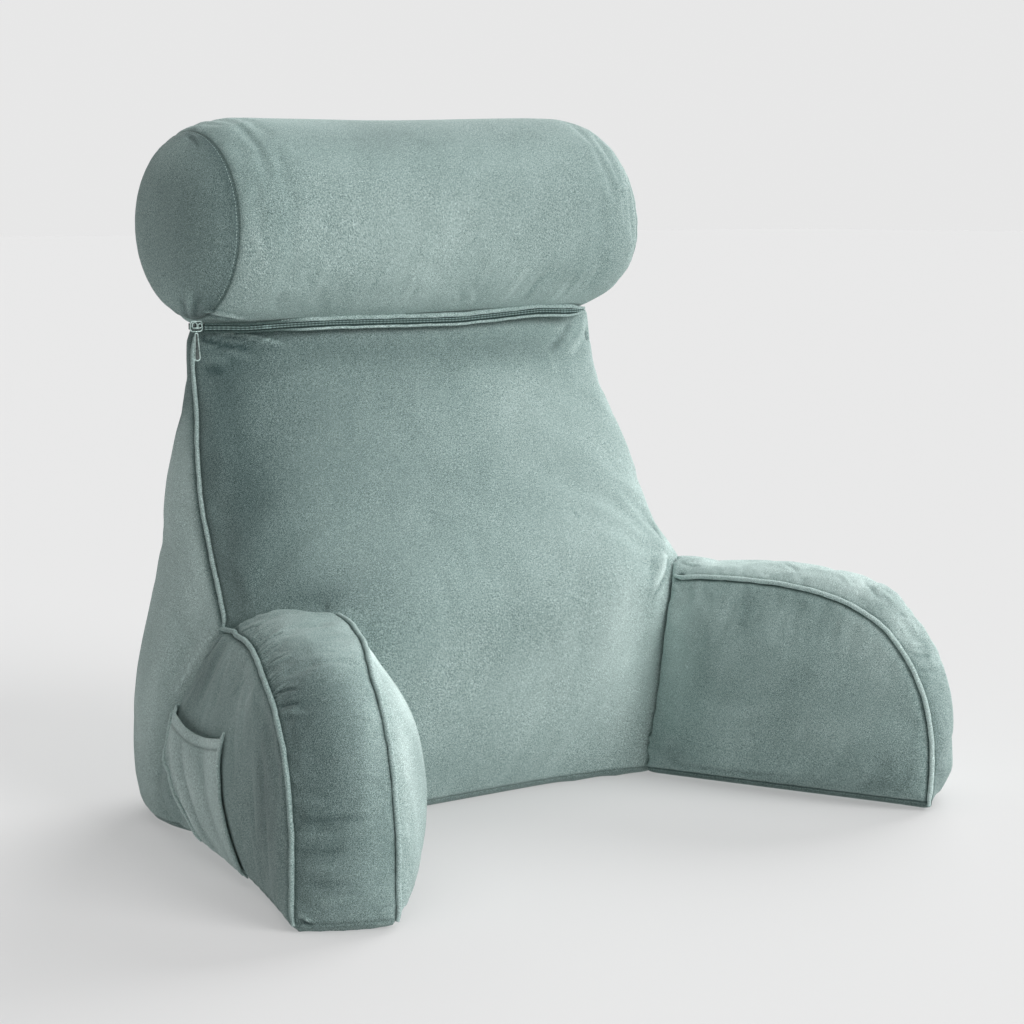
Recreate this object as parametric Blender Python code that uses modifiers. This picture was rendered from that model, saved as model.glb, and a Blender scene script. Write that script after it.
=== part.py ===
"""Reading pillow with arms: a wedge-backed bed rest with two splayed arms and a neck roll.

Metres, +Z up, -Y is the side a reader sits on, +X is the reader's left as seen from the front.
The pillow stands on z = 0 and its box is centred on x = 0, y = 0.
"""
from math import asin, cos, pi, radians, sin
from typing import NamedTuple

import bmesh
import bpy
from mathutils import Matrix, Vector
from mathutils.bvhtree import BVHTree

# ---- driving dimensions -------------------------------------------------------------------
SEAT_LINE_Y = 0.0077      # where the foot of the front panel meets the inside of each arm
FIT_GAP = 0.0004          # air left between two pieces that touch
ARM_GAP = 0.0009          # and between an arm and the faceted back it is cut to fit

ROLL_RADIUS = 0.090
ROLL_SHOULDER_X = 0.150   # where the tube of cloth starts to draw in
ROLL_END_X = 0.2395       # the crown of the end disc
ROLL_END_POWER = 2.6      # fullness of the end between the two
ROLL_Y = 0.145
ROLL_Z = 0.493

PIPING_RADIUS = 0.0028
SEAM_HALF = 0.0042        # half the width of the groove that a piped seam lies in
SEAM_DEPTH = 0.0042
PIPING_PROUD = 0.0008     # how far a piping's middle stands off the cloth beside it
PIPING_FOOT = 0.0042      # height of the middle of an arm piping's lower end

ARM_SPLAY = radians(22.0)
ARM_CORNER = 3.14         # power of the curve from an arm's top to its front
ARM_CURVE_LENGTH = 0.250
ARM_INNER_W = 0.160       # across the arm, from the pillow's middle: the inner panel's seam
ARM_OUTER_W = 0.238
ARM_INNER_FRONT = 0.331   # along the arm: where the inner panel's front seam stands
ARM_OUTER_FRONT = 0.3225
ARM_INNER_REAR = 0.030    # inside the back, where the arm is cut away
ARM_OUTER_REAR = -0.030
ARM_INNER_TOP = 0.1835
ARM_OUTER_TOP = 0.1725
ARM_INNER_PUFF = {"left": 0.046, "right": 0.032}
ARM_CROWN = {"left": 0.0135, "right": 0.0205}    # rise of the top band over its two seams
ARM_CORNER_CROWN = {"left": 0.0, "right": 0.018}   # more rise where the top turns down
ARM_FRONT_CROWN = {"left": 0.0, "right": -0.009}   # and more, or less, at the front
ARM_TOE = {"left": 0.004, "right": 0.020}    # how far the outer seam's foot is drawn back
ARM_BASE_LIFT = 0.006     # the base seams stand this far off the floor
TOE_HEIGHT = 0.060
FIRST_STEP_UP = 0.014     # height of the first ring point above the floor

ZIP_HALF = 0.2060
ZIP_Z = 0.4085
ZIP_STAND_OFF = 0.0058    # the tape's middle, in front of the neck
TAPE_HEIGHT = 0.0090
TAPE_THICKNESS = 0.0012
COIL_RADIUS = 0.0012
LIP_RADIUS = 0.0017       # the folded cloth edge above and below the coil
LIP_RISE = 0.0040         # and how far its middle is from the coil's
LIP_FORWARD = TAPE_THICKNESS / 2 + 2 * FIT_GAP + LIP_RADIUS
ZIP_STEPS = 26
PULL_LENGTH = 0.0225
PULL_TOP = 0.0014         # radius of the loop's upper end, and of its lower end
PULL_FOOT = 0.0027
PULL_RADIUS = 0.0008      # half the thickness of the loop itself
PULL_LEAN = 0.0012        # how far it swings forward at its lower end
PULL_STEPS = 8

POCKET_SHEET = 0.0018
POCKET_HEM = 0.0028
POCKET_HEM_HEIGHT = 0.012
POCKET_LIFT = 0.0145      # how far the mouth stands open in its middle
POCKET_SAG = 0.012
POCKET_SEAM = 0.0016      # radius of the sewn ridge down each side of the pocket
POCKET_CLEAR = 0.0012     # air between the pocket's sewn edges and the arm's faceted skin

COLLECTION = "reading_pillow"


class BackRow(NamedTuple):
    """One level cut through the back cushion."""

    height: float
    half_width: float     # to the piped edge of the front panel
    seam_y: float         # depth of that edge
    crown: float          # how far the front panel stands in front of its edges
    hollow: float         # how far the middle of the front panel is drawn back again
    puff: float           # how far the side panel swells past the piped edge
    rear_y: float


BACK_ROWS = (
    BackRow(0.000, 0.2400, 0.0220, 0.0190, 0.0200, 0.0210, 0.2120),
    BackRow(0.009, 0.2440, 0.0200, 0.0240, 0.0240, 0.0260, 0.2190),
    BackRow(0.035, 0.2460, 0.0240, 0.0320, 0.0120, 0.0300, 0.2240),
    BackRow(0.075, 0.2465, 0.0235, 0.0400, 0.0040, 0.0310, 0.2260),
    BackRow(0.125, 0.2450, 0.0255, 0.0520, 0.0000, 0.0280, 0.2240),
    BackRow(0.178, 0.2410, 0.0400, 0.0765, 0.0000, 0.0170, 0.2140),
    BackRow(0.224, 0.2350, 0.0680, 0.0760, 0.0000, 0.0100, 0.2030),
    BackRow(0.270, 0.2290, 0.0930, 0.0660, 0.0000, 0.0075, 0.1930),
    BackRow(0.325, 0.2220, 0.1130, 0.0490, 0.0000, 0.0045, 0.1790),
    BackRow(0.379, 0.2155, 0.1260, 0.0320, 0.0000, 0.0020, 0.1620),
    BackRow(0.406, 0.2110, 0.1310, 0.0230, 0.0000, 0.0010, 0.1590),
    BackRow(0.416, 0.2020, 0.1330, 0.0190, 0.0000, 0.0010, 0.1580),
)
FRONT_POWER = 3.6         # flatness of the front panel across the pillow
REAR_POWER = 4.3          # roundness of the side and rear panels
FOOT_HALF_WIDTH = 0.172   # the front panel's foot between the arms
PIPED_FROM = 0.178        # the back's edge is piped from just above the arm ...
PIPED_TO = 0.402          # ... to just below the zip

FRONT_STEPS = 24
LAST_FRONT_TURN = radians(74.0)    # the front panel's last point before its seam groove
SIDE_STEPS = 14
LEVELS = [0.0, 0.009, 0.022, 0.035, 0.055, 0.075, 0.1, 0.125, 0.145, 0.163, PIPED_FROM]
LEVELS += [PIPED_FROM + (PIPED_TO - PIPED_FROM) * k / 14 for k in range(1, 15)]
LEVELS += [0.409, 0.416]


# ---- small helpers ------------------------------------------------------------------------
def clear_scene():
    for thing in list(bpy.data.objects):
        bpy.data.objects.remove(thing, do_unlink=True)


def new_collection(name):
    made = bpy.data.collections.new(name)
    bpy.context.scene.collection.children.link(made)
    return made


def new_material(name, color, roughness, metallic=0.0):
    material = bpy.data.materials.new(name)
    material.use_nodes = True
    shader = material.node_tree.nodes["Principled BSDF"]
    shader.inputs["Base Color"].default_value = (*color, 1.0)
    shader.inputs["Roughness"].default_value = roughness
    shader.inputs["Metallic"].default_value = metallic
    return material


def add_object(name, data, material, collection):
    obj = bpy.data.objects.new(name, data)
    data.materials.append(material)
    collection.objects.link(obj)
    return obj


def mesh_from(bm, name, sharp_angle=50.0):
    bmesh.ops.recalc_face_normals(bm, faces=bm.faces)
    mesh = bpy.data.meshes.new(name)
    bm.to_mesh(mesh)
    bm.free()
    mesh.shade_smooth()
    mesh.set_sharp_from_angle(angle=radians(sharp_angle))
    return mesh


def smooth_step(value):
    t = min(max(value, 0.0), 1.0)
    return t * t * (3.0 - 2.0 * t)


def placed(x, y, z):
    """A point given from the seat line, in the pillow's own frame."""
    return Vector((x, y + SEAT_LINE_Y, z))


def resampled(points, count):
    """The same open line with its points at even steps."""
    reach = [0.0]
    for a, b in zip(points, points[1:]):
        reach.append(reach[-1] + (b - a).length)
    out = []
    k = 0
    for step in range(count + 1):
        goal = reach[-1] * step / count
        while k < len(points) - 2 and reach[k + 1] < goal:
            k += 1
        share = (goal - reach[k]) / max(reach[k + 1] - reach[k], 1e-9)
        out.append(points[k].lerp(points[k + 1], share))
    return out


def loft(rings, name, poles=None):
    """A skin over closed rings of equal length; each end is a flat face, or a fan to its pole."""
    bm = bmesh.new()
    loops = [[bm.verts.new(point) for point in ring] for ring in rings]
    size = len(rings[0])
    for lower, upper in zip(loops, loops[1:]):
        for k in range(size):
            n = (k + 1) % size
            bm.faces.new((lower[k], lower[n], upper[n], upper[k]))
    if poles is None:
        bm.faces.new(list(reversed(loops[0])))
        bm.faces.new(loops[-1])
    else:
        for loop, pole in ((loops[0], poles[0]), (loops[-1], poles[1])):
            tip = bm.verts.new(pole)
            for k in range(size):
                bm.faces.new((loop[k], loop[(k + 1) % size], tip))
    return mesh_from(bm, name)


def add_tube(name, points, radius, material, collection, cyclic=False):
    """A round piping or wire along a line of points."""
    curve = bpy.data.curves.new(name, "CURVE")
    curve.dimensions = "3D"
    curve.bevel_depth = radius
    curve.bevel_resolution = 2
    curve.use_fill_caps = not cyclic
    spline = curve.splines.new("POLY")
    spline.points.add(len(points) - 1)
    for spot, point in zip(spline.points, points):
        spot.co = (*point, 1.0)
    spline.use_cyclic_u = cyclic
    spline.use_smooth = True
    return add_object(name, curve, material, collection)


def subtract(obj, cutter):
    cut = obj.modifiers.new("cut_" + cutter.name, "BOOLEAN")
    cut.operation = "DIFFERENCE"
    cut.solver = "EXACT"
    cut.object = cutter


def as_cutter(name, mesh, collection):
    obj = bpy.data.objects.new(name, mesh)
    collection.objects.link(obj)
    obj.hide_render = True
    obj.display_type = "WIRE"
    return obj


# ---- back cushion -------------------------------------------------------------------------
def back_row(z):
    """The table's row at any height, on a smooth curve through its rows."""
    rows = BACK_ROWS
    k = 0
    while k < len(rows) - 2 and rows[k + 1].height <= z:
        k += 1
    a, b = rows[k], rows[k + 1]
    before, after = rows[max(k - 1, 0)], rows[min(k + 2, len(rows) - 1)]
    span = b.height - a.height
    t = min(max((z - a.height) / span, 0.0), 1.0)
    values = [z]
    for name in BackRow._fields[1:]:
        va, vb = getattr(a, name), getattr(b, name)
        slope_a = (vb - getattr(before, name)) / (b.height - before.height) * span
        slope_b = (getattr(after, name) - va) / (after.height - a.height) * span
        ease = (2 * t**3 - 3 * t**2 + 1) * va + (t**3 - 2 * t**2 + t) * slope_a
        values.append(ease + (3 * t**2 - 2 * t**3) * vb + (t**3 - t**2) * slope_b)
    return BackRow(*values)


def front_y(x, row):
    """Depth of the front panel at x."""
    share = min(abs(x) / row.half_width, 1.0)
    crown = row.crown * (1.0 - share**FRONT_POWER) ** 0.5
    hollow = row.hollow * max(0.0, 1.0 - (abs(x) / FOOT_HALF_WIDTH) ** 4)
    return row.seam_y - crown + hollow


def side_point(angle, row):
    """The side and rear panels, from the piped edge (0) to the middle of the rear (pi / 2)."""
    depth = sin(angle) ** (2.0 / REAR_POWER)
    swell = row.puff * sin(pi * depth**0.8)
    across = (row.half_width + swell) * max(cos(angle), 0.0) ** (2.0 / REAR_POWER)
    return Vector((across, row.seam_y + (row.rear_y - row.seam_y) * depth))


def seam_groove(row, z, grooved=True):
    """The front lip, the bottom and the side lip of the groove along the right piped edge."""
    edge = Vector((row.half_width, row.seam_y))
    x = row.half_width - SEAM_HALF * 0.35
    front = Vector((x, front_y(x, row)))
    front = edge + (front - edge).normalized() * SEAM_HALF
    side = side_point(0.06, row)
    side = edge + (side - edge).normalized() * SEAM_HALF
    chord = (side - front).normalized()
    outward = Vector((chord.y, -chord.x))
    depth = SEAM_DEPTH * smooth_step((z - 0.163) / (PIPED_FROM - 0.163)) * grooved
    middle = (front + side) / 2
    return front, middle - outward * depth, side, middle + outward * PIPING_PROUD


def back_section(z, grooved=True):
    """One closed level of the back cushion, from the left piped edge across the front."""
    row = back_row(z)
    half = []
    for k in range(FRONT_STEPS // 2):
        x = row.half_width * sin(LAST_FRONT_TURN * k / (FRONT_STEPS // 2 - 1))
        half.append(Vector((x, front_y(x, row))))
    half += seam_groove(row, z, grooved)[:3]
    half += [side_point(pi / 2 * k / SIDE_STEPS, row) for k in range(1, SIDE_STEPS + 1)]
    mirrored = [Vector((-p.x, p.y)) for p in reversed(half[1:-1])]
    return [placed(p.x, p.y, z) for p in half + mirrored]


def widened(ring, distance):
    """A level ring with each point moved out by the given distance."""
    out = []
    for k, point in enumerate(ring):
        before, after = ring[k - 1], ring[(k + 1) % len(ring)]
        run = (after - before).xy
        normal = Vector((run.y, -run.x)).normalized()
        out.append(point + Vector((*(normal * distance), 0.0)))
    return out


def build_back(material, collection, cutters, roll_cutter):
    rings = [back_section(z) for z in LEVELS]
    obj = add_object("back_cushion", loft(rings, "back_cushion"), material, collection)
    subtract(obj, roll_cutter)

    wide = [widened(back_section(z, grooved=False), ARM_GAP) for z in LEVELS]
    below = [point - Vector((0.0, 0.0, 0.01)) for point in wide[0]]
    return as_cutter("back_room", loft([below] + wide, "back_room"), cutters)


def back_piping_line(side):
    """Middle of the piping along one edge of the front panel, from the arm up to the zip."""
    line = []
    for z in [level for level in LEVELS if PIPED_FROM <= level <= PIPED_TO]:
        middle = seam_groove(back_row(z), z)[3]
        line.append(placed(side * middle.x, middle.y, z))
    return line


# ---- neck roll ----------------------------------------------------------------------------
def roll_profile(grow):
    """(radius, x) along one side of the roll, from its +X end to its -X end."""
    end = []
    steps = 11
    for k in range(steps + 1):
        turn = pi / 2 * k / steps
        radius = ROLL_RADIUS * max(cos(turn), 0.0) ** (2.0 / ROLL_END_POWER)
        x = ROLL_SHOULDER_X + (ROLL_END_X - ROLL_SHOULDER_X) * sin(turn) ** (2.0 / ROLL_END_POWER)
        end.append((radius + grow if k < steps else 0.0, x + grow))
    tube = [(ROLL_RADIUS + grow, ROLL_SHOULDER_X * k / 3) for k in (2, 1, 0)]
    half = end[::-1] + tube
    return half + [(radius, -x) for radius, x in half[-2::-1]]


def roll_radius(x):
    """Radius of the roll at x, by the same curve as its profile."""
    share = max(0.0, (abs(x) - ROLL_SHOULDER_X) / (ROLL_END_X - ROLL_SHOULDER_X))
    return ROLL_RADIUS * max(0.0, 1.0 - share**ROLL_END_POWER) ** (1.0 / ROLL_END_POWER)


def turned_roll(name, grow):
    bm = bmesh.new()
    verts = [bm.verts.new((radius, 0.0, x)) for radius, x in roll_profile(grow)]
    for a, b in zip(verts, verts[1:]):
        bm.edges.new((a, b))
    mesh = bpy.data.meshes.new(name)
    bm.to_mesh(mesh)
    bm.free()
    return mesh


def finish_roll(obj):
    screw = obj.modifiers.new("turn", "SCREW")
    screw.steps = 40
    screw.render_steps = 40
    screw.use_merge_vertices = True
    screw.merge_threshold = 0.00001
    screw.use_smooth_shade = True
    obj.rotation_euler = (0.0, pi / 2, 0.0)
    obj.location = placed(0.0, ROLL_Y, ROLL_Z)


def build_roll(material, collection):
    finish_roll(add_object("neck_roll", turned_roll("neck_roll", 0.0), material, collection))


# ---- arms ---------------------------------------------------------------------------------
def arm_place(side, along, across, z):
    """A point of an arm, from its distance along and across the arm."""
    x = along * sin(ARM_SPLAY) + across * cos(ARM_SPLAY)
    y = -along * cos(ARM_SPLAY) + across * sin(ARM_SPLAY)
    return placed(side * x, y, z)


def arm_outline(front, rear, top, toe=0.0):
    """Side view of a panel: up the front, back over the top, down the rear and along the floor."""
    fine = []
    for k in range(121):
        turn = pi / 2 * k / 120
        along = front - ARM_CURVE_LENGTH * (1.0 - cos(turn) ** (2.0 / ARM_CORNER))
        fine.append(Vector((along, top * sin(turn) ** (2.0 / ARM_CORNER))))
    points = resampled(fine, 24)
    points.insert(1, Vector((front, FIRST_STEP_UP)))
    start, drop = points[-1].x, Vector((rear, 0.0))
    points += [Vector((start + (rear - start) * k / 3, top)) for k in (1, 2, 3)]
    points += [Vector((rear, top * (1 - k / 4))) for k in (1, 2, 3)]
    points += [drop.lerp(Vector((front, 0.0)), k / 7) for k in range(7)]
    for point in points[:5] + points[-2:]:
        point.x -= toe * max(0.0, 1.0 - point.y / TOE_HEIGHT) ** 2 * (1.0 if point.x > 0.25 else 0.5)
    return points


def outline_normals(outline):
    """Directions away from the panel; zero along the floor, where the arm is flat."""
    normals = []
    for k, point in enumerate(outline):
        run = outline[(k + 1) % len(outline)] - outline[k - 1]
        if k == 0:
            run = outline[1] - outline[0]
        on_floor = point.y < 1e-6 and k > 0
        normals.append(Vector((0.0, 0.0)) if on_floor else Vector((run.y, -run.x)).normalized())
    return normals


def inner_face(word, along, share):
    """Across-arm place of the inner panel, at a share (0 to 1) of the way out to its seam."""
    lead = smooth_step((along - 0.045) / 0.10)
    return ARM_INNER_W - ARM_INNER_PUFF[word] * (1.0 - share**2.4) * lead


def outer_face(along, z, share):
    """Across-arm place of the outer panel, which swells towards the back's side."""
    flare = 0.0264 * max(0.0, (ARM_OUTER_FRONT - along) / 0.307) ** 1.6
    flare *= max(0.0, 1.0 - z / ARM_OUTER_TOP) * smooth_step((along - ARM_OUTER_REAR) / 0.03)
    swell = max(0.005, 0.0199 + 0.1425 * (0.15 - along))
    swell *= 1.0 - 0.6 * max(0.0, (z - 0.07) / (ARM_OUTER_TOP - 0.07)) ** 1.5
    return ARM_OUTER_W + flare + swell * (1.0 - share**4) ** 0.6


PANEL_SHARES = (0.30, 0.52, 0.70, 0.84, 0.93)
BAND_SHARES = (0.16, 0.33, 0.5, 0.67, 0.84)


def arm_panel_rings(side, outline, face):
    """Rings from the middle of a panel out to the groove beside its seam."""
    centre = Vector((sum(p.x for p in outline) / len(outline), ARM_OUTER_TOP * 0.5))
    centre.x = (outline[0].x + outline[28].x) / 2
    rings = []
    for share in PANEL_SHARES:
        raised = [Vector((point.x, max(point.y, ARM_BASE_LIFT))) for point in outline]
        spots = [centre.lerp(point, share) for point in raised]
        rings.append([arm_place(side, p.x, face(p.x, p.y, share), p.y) for p in spots])
    pole = arm_place(side, centre.x, face(centre.x, centre.y, 0.0), centre.y)
    return rings, pole


def seam_rings(side, outline, normals, seam_w, inward):
    """Panel lip, groove and band lip of one piped seam. inward is +1 or -1, towards the band."""
    lips = ([], [], [])
    for k, (point, normal) in enumerate(zip(outline, normals)):
        floor = normal.length < 0.5
        lift = ARM_BASE_LIFT if point.y < 1e-6 else 0.0
        across = seam_w(point.x, point.y)
        inset = point - normal * SEAM_HALF
        if floor:
            spots = ((point + Vector((0, 0.0082)), across - inward * 0.0008),
                     (point + Vector((0, ARM_BASE_LIFT)), across),
                     (point + Vector((0, 0.0018)), across + inward * 0.0045))
        else:
            groove = point - normal * (SEAM_DEPTH * 0.62)
            spots = ((inset + Vector((0, lift * 1.3)), across - inward * 0.0010),
                     (groove + Vector((0, lift * 0.5)), across + inward * SEAM_DEPTH * 0.62),
                     (point + normal * 0.0010, across + inward * SEAM_HALF))
        for lip, (spot, w) in zip(lips, spots):
            lip.append(arm_place(side, spot.x, w, max(spot.y, 0.0)))
    return lips


def arm_rings(word, side):
    inner = arm_outline(ARM_INNER_FRONT, ARM_INNER_REAR, ARM_INNER_TOP)
    outer = arm_outline(ARM_OUTER_FRONT, ARM_OUTER_REAR, ARM_OUTER_TOP, ARM_TOE[word])
    inner_normals, outer_normals = outline_normals(inner), outline_normals(outer)

    def inner_panel(along, z, share=1.0):
        return inner_face(word, along, share)

    def outer_panel(along, z, share=1.0):
        return outer_face(along, z, share)

    first, inner_pole = arm_panel_rings(side, inner, inner_panel)
    rings = first + list(seam_rings(side, inner, inner_normals, inner_panel, 1.0))
    for share in BAND_SHARES:
        ring = []
        for a, b, normal_a, normal_b in zip(inner, outer, inner_normals, outer_normals):
            normal = normal_a.lerp(normal_b, share)
            crown = ARM_CROWN[word] + ARM_FRONT_CROWN[word] * max(normal.x, 0.0) ** 2
            crown += ARM_CORNER_CROWN[word] * abs(2.0 * normal.x * normal.y)
            rise = crown * sin(pi * share) * smooth_step(0.25 + a.y / 0.06)
            spot = a.lerp(b, share) + normal * rise
            across = inner_panel(a.x, a.y) * (1 - share) + outer_panel(b.x, b.y) * share
            ring.append(arm_place(side, spot.x, across, max(spot.y, 0.0)))
        rings.append(ring)
    last, outer_pole = arm_panel_rings(side, outer, outer_panel)
    rings += reversed(seam_rings(side, outer, outer_normals, outer_panel, -1.0))
    rings += reversed(last)
    return rings, (inner_pole, outer_pole)


def arm_piping_line(side, outline, across, start_along):
    """Middle of the piping over one arm seam, from the back's front down to the floor."""
    inward = 1.0 if across < (ARM_INNER_W + ARM_OUTER_W) / 2 else -1.0
    line = []
    for point, normal in list(zip(outline, outline_normals(outline)))[1:29]:
        if point.x < start_along:
            break
        spot = point + normal * (PIPING_PROUD * 0.7)
        line.append(arm_place(side, spot.x, across - inward * PIPING_PROUD * 0.7, spot.y))
    line[0].z = PIPING_FOOT
    return line


def build_arm(word, side, material, collection, cutter):
    name = "arm_" + word
    rings, poles = arm_rings(word, side)
    obj = add_object(name, loft(rings, name, poles), material, collection)
    subtract(obj, cutter)
    return obj


# ---- zip ----------------------------------------------------------------------------------
def zip_point(x, forward, up):
    """A point beside the zip's line, which passes in front of the neck and of the roll."""
    row = back_row(ZIP_Z)
    depth = front_y(x * 0.985, row) - ZIP_STAND_OFF
    reach = roll_radius(x) + LIP_RADIUS + 2 * FIT_GAP
    rise = ROLL_Z - ZIP_Z - LIP_RISE
    if reach > rise:
        depth = min(depth, ROLL_Y - (reach**2 - rise**2) ** 0.5 + LIP_FORWARD)
    return placed(x, depth - forward, ZIP_Z + up)


def zip_stations():
    """Places along the zip, closer together towards its ends."""
    return [ZIP_HALF * sin(pi / 2 * (2 * k / ZIP_STEPS - 1)) for k in range(ZIP_STEPS + 1)]


def build_zip(materials, collection):
    half_t, half_h = TAPE_THICKNESS / 2, TAPE_HEIGHT / 2
    corners = ((-half_t, -half_h), (half_t, -half_h), (half_t, half_h), (-half_t, half_h))
    rings = [[zip_point(x, f, u) for f, u in corners] for x in zip_stations()]
    add_object("zip_tape", loft(rings, "zip_tape"), materials["tape"], collection)

    front = half_t + 2 * FIT_GAP
    lines = (("zip_coil", COIL_RADIUS, 0.0, "coil"),
             ("zip_lip_upper", LIP_RADIUS, LIP_RISE, "velvet"),
             ("zip_lip_lower", LIP_RADIUS, -LIP_RISE, "velvet"))
    for name, radius, up, slot in lines:
        points = [zip_point(x, front + radius, up) for x in zip_stations()]
        add_tube(name, points, radius, materials[slot], collection)


def pull_line(top):
    """The pull's loop: a small round above, a larger one below, and straight sides between."""
    lean = asin((PULL_FOOT - PULL_TOP) / (PULL_LENGTH - PULL_TOP - PULL_FOOT))
    rounds = ((PULL_TOP, PULL_TOP, lean, pi - 2 * lean),
              (PULL_FOOT, PULL_LENGTH - PULL_FOOT, pi - lean, pi + 2 * lean))
    spots = []
    for radius, drop, start, turn in rounds:
        for k in range(PULL_STEPS + 1):
            angle = start + turn * k / PULL_STEPS
            spots.append(Vector((radius * cos(angle), 0.0, -drop + radius * sin(angle))))
    line = []
    for spot, follower in zip(spots, spots[1:] + spots[:1]):
        straight = (follower - spot).length > 2 * PULL_FOOT
        for share in (0.0, 1 / 3, 2 / 3) if straight else (0.0,):
            point = spot.lerp(follower, share)
            point.y = PULL_LEAN * point.z / PULL_LENGTH
            line.append(top + point)
    return line


def build_slider(materials, collection):
    """The slider at the left end of the zip and the loop that hangs from it."""
    middle = zip_point(-ZIP_HALF, 0.0, 0.0) + Vector((-0.0068, -0.0010, 0.0))
    bm = bmesh.new()
    bmesh.ops.create_cube(bm, size=1.0, matrix=Matrix.Diagonal((0.0110, 0.0050, 0.0085, 1.0)))
    bmesh.ops.bevel(bm, geom=bm.edges[:], offset=0.0012, segments=2, profile=0.5,
                    affect="EDGES", material=-1)
    bmesh.ops.translate(bm, verts=bm.verts, vec=middle)
    add_object("zip_slider", mesh_from(bm, "zip_slider"), materials["slider"], collection)

    hang = middle + Vector((0.0, -0.0006, -0.0056))
    add_tube("zip_pull", pull_line(hang), PULL_RADIUS, materials["slider"], collection, cyclic=True)


# ---- pocket -------------------------------------------------------------------------------
POCKET_CORNERS = ((0.037, 0.1025), (0.188, 0.1065), (0.066, 0.0110), (0.207, 0.0100))
POCKET_ACROSS = 18
POCKET_DOWN = 16


def pocket_spot(u, v):
    """Along-arm place and height on the pocket: u runs forward, v runs up to the mouth."""
    top_rear, top_front, foot_rear, foot_front = [Vector(c) for c in POCKET_CORNERS]
    foot = foot_rear.lerp(foot_front, u)
    mouth = top_rear.lerp(top_front, u) - Vector((0.0, POCKET_SAG * sin(pi * u)))
    return foot.lerp(mouth, v)


def on_arm(tree, along, z, off):
    """A point of the left arm's outer panel, and out from it by a distance."""
    start = arm_place(-1.0, along, 0.45, z)
    toward = (arm_place(-1.0, along, 0.0, z) - start).normalized()
    hit, normal = tree.ray_cast(start, toward)[:2]
    if hit is None:
        hit, normal = tree.find_nearest(arm_place(-1.0, along, ARM_OUTER_W, z))[:2]
    outward = normal if normal.dot(toward) < 0 else -normal
    return hit + outward * off


def build_pocket(tree, materials, collection):
    bm = bmesh.new()
    bmesh.ops.create_grid(bm, x_segments=POCKET_ACROSS, y_segments=POCKET_DOWN, size=0.5)
    hem_rows = []
    for vert in bm.verts:
        u, v = vert.co.x + 0.5, vert.co.y + 0.5
        spot = pocket_spot(u, v)
        belly = sin(pi * u) ** 0.7 * (0.10 + 0.90 * v**1.4)
        vert.co = on_arm(tree, spot.x, spot.y, POCKET_CLEAR + POCKET_LIFT * belly)
        if v > 1.0 - POCKET_HEM_HEIGHT / 0.095 - 0.01:
            hem_rows.append(vert.index)
    bm.normal_update()
    if sum((face.normal for face in bm.faces), Vector()).x > 0:
        bmesh.ops.reverse_faces(bm, faces=bm.faces)
    mesh = bpy.data.meshes.new("pocket")
    bm.to_mesh(mesh)
    bm.free()
    mesh.shade_smooth()
    obj = add_object("pocket", mesh, materials["velvet"], collection)
    hem = obj.vertex_groups.new(name="hem")
    hem.add(hem_rows, 1.0, "REPLACE")
    sheet = obj.modifiers.new("cloth", "SOLIDIFY")
    sheet.thickness = POCKET_HEM
    sheet.offset = 1.0
    sheet.vertex_group = "hem"
    sheet.thickness_vertex_group = POCKET_SHEET / POCKET_HEM

    edges = (("pocket_seam_front", 1.0, 0.0046, 1.06), ("pocket_seam_rear", 0.0, -0.0036, 1.0))
    for name, u, beside, top in edges:
        line = []
        for k in range(13):
            spot = pocket_spot(u, top * k / 12)
            line.append(on_arm(tree, spot.x + beside, spot.y, POCKET_SEAM + POCKET_CLEAR))
        add_tube(name, line, POCKET_SEAM, materials["velvet"], collection)


# ---- the pillow ---------------------------------------------------------------------------
def evaluated_tree(obj):
    bpy.context.view_layer.update()
    return BVHTree.FromObject(obj, bpy.context.evaluated_depsgraph_get())


def build_pillow():
    clear_scene()
    pillow = new_collection(COLLECTION)
    cutters = new_collection(COLLECTION + "_cutters")
    materials = {
        "velvet": new_material("sage_velvet", (0.30, 0.39, 0.37), 0.85),
        "tape": new_material("zip_tape_weave", (0.10, 0.17, 0.16), 0.80),
        "coil": new_material("zip_coil_nylon", (0.13, 0.22, 0.20), 0.45),
        "slider": new_material("zip_enamel", (0.38, 0.47, 0.45), 0.35),
    }
    velvet = materials["velvet"]

    roll_room = as_cutter("roll_room", turned_roll("roll_room", FIT_GAP), cutters)
    finish_roll(roll_room)
    build_roll(velvet, pillow)
    back_room = build_back(velvet, pillow, cutters, roll_room)
    arms = {}
    for word, side in (("left", -1.0), ("right", 1.0)):
        arms[word] = build_arm(word, side, velvet, pillow, back_room)
        add_tube("piping_back_" + word, back_piping_line(side), PIPING_RADIUS, velvet, pillow)
        inner = arm_outline(ARM_INNER_FRONT, ARM_INNER_REAR, ARM_INNER_TOP)
        add_tube("piping_arm_inner_" + word, arm_piping_line(side, inner, ARM_INNER_W, 0.096),
                 PIPING_RADIUS, velvet, pillow)
        outer = arm_outline(ARM_OUTER_FRONT, ARM_OUTER_REAR, ARM_OUTER_TOP, ARM_TOE[word])
        add_tube("piping_arm_outer_" + word, arm_piping_line(side, outer, ARM_OUTER_W, 0.066),
                 PIPING_RADIUS, velvet, pillow)
    build_zip(materials, pillow)
    build_slider(materials, pillow)
    build_pocket(evaluated_tree(arms["left"]), materials, pillow)


build_pillow()
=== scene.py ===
from math import cos, pi, radians, sin

import bmesh
import bpy
import numpy as np
from mathutils import Euler, Matrix, Vector
from mathutils.bvhtree import BVHTree


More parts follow.
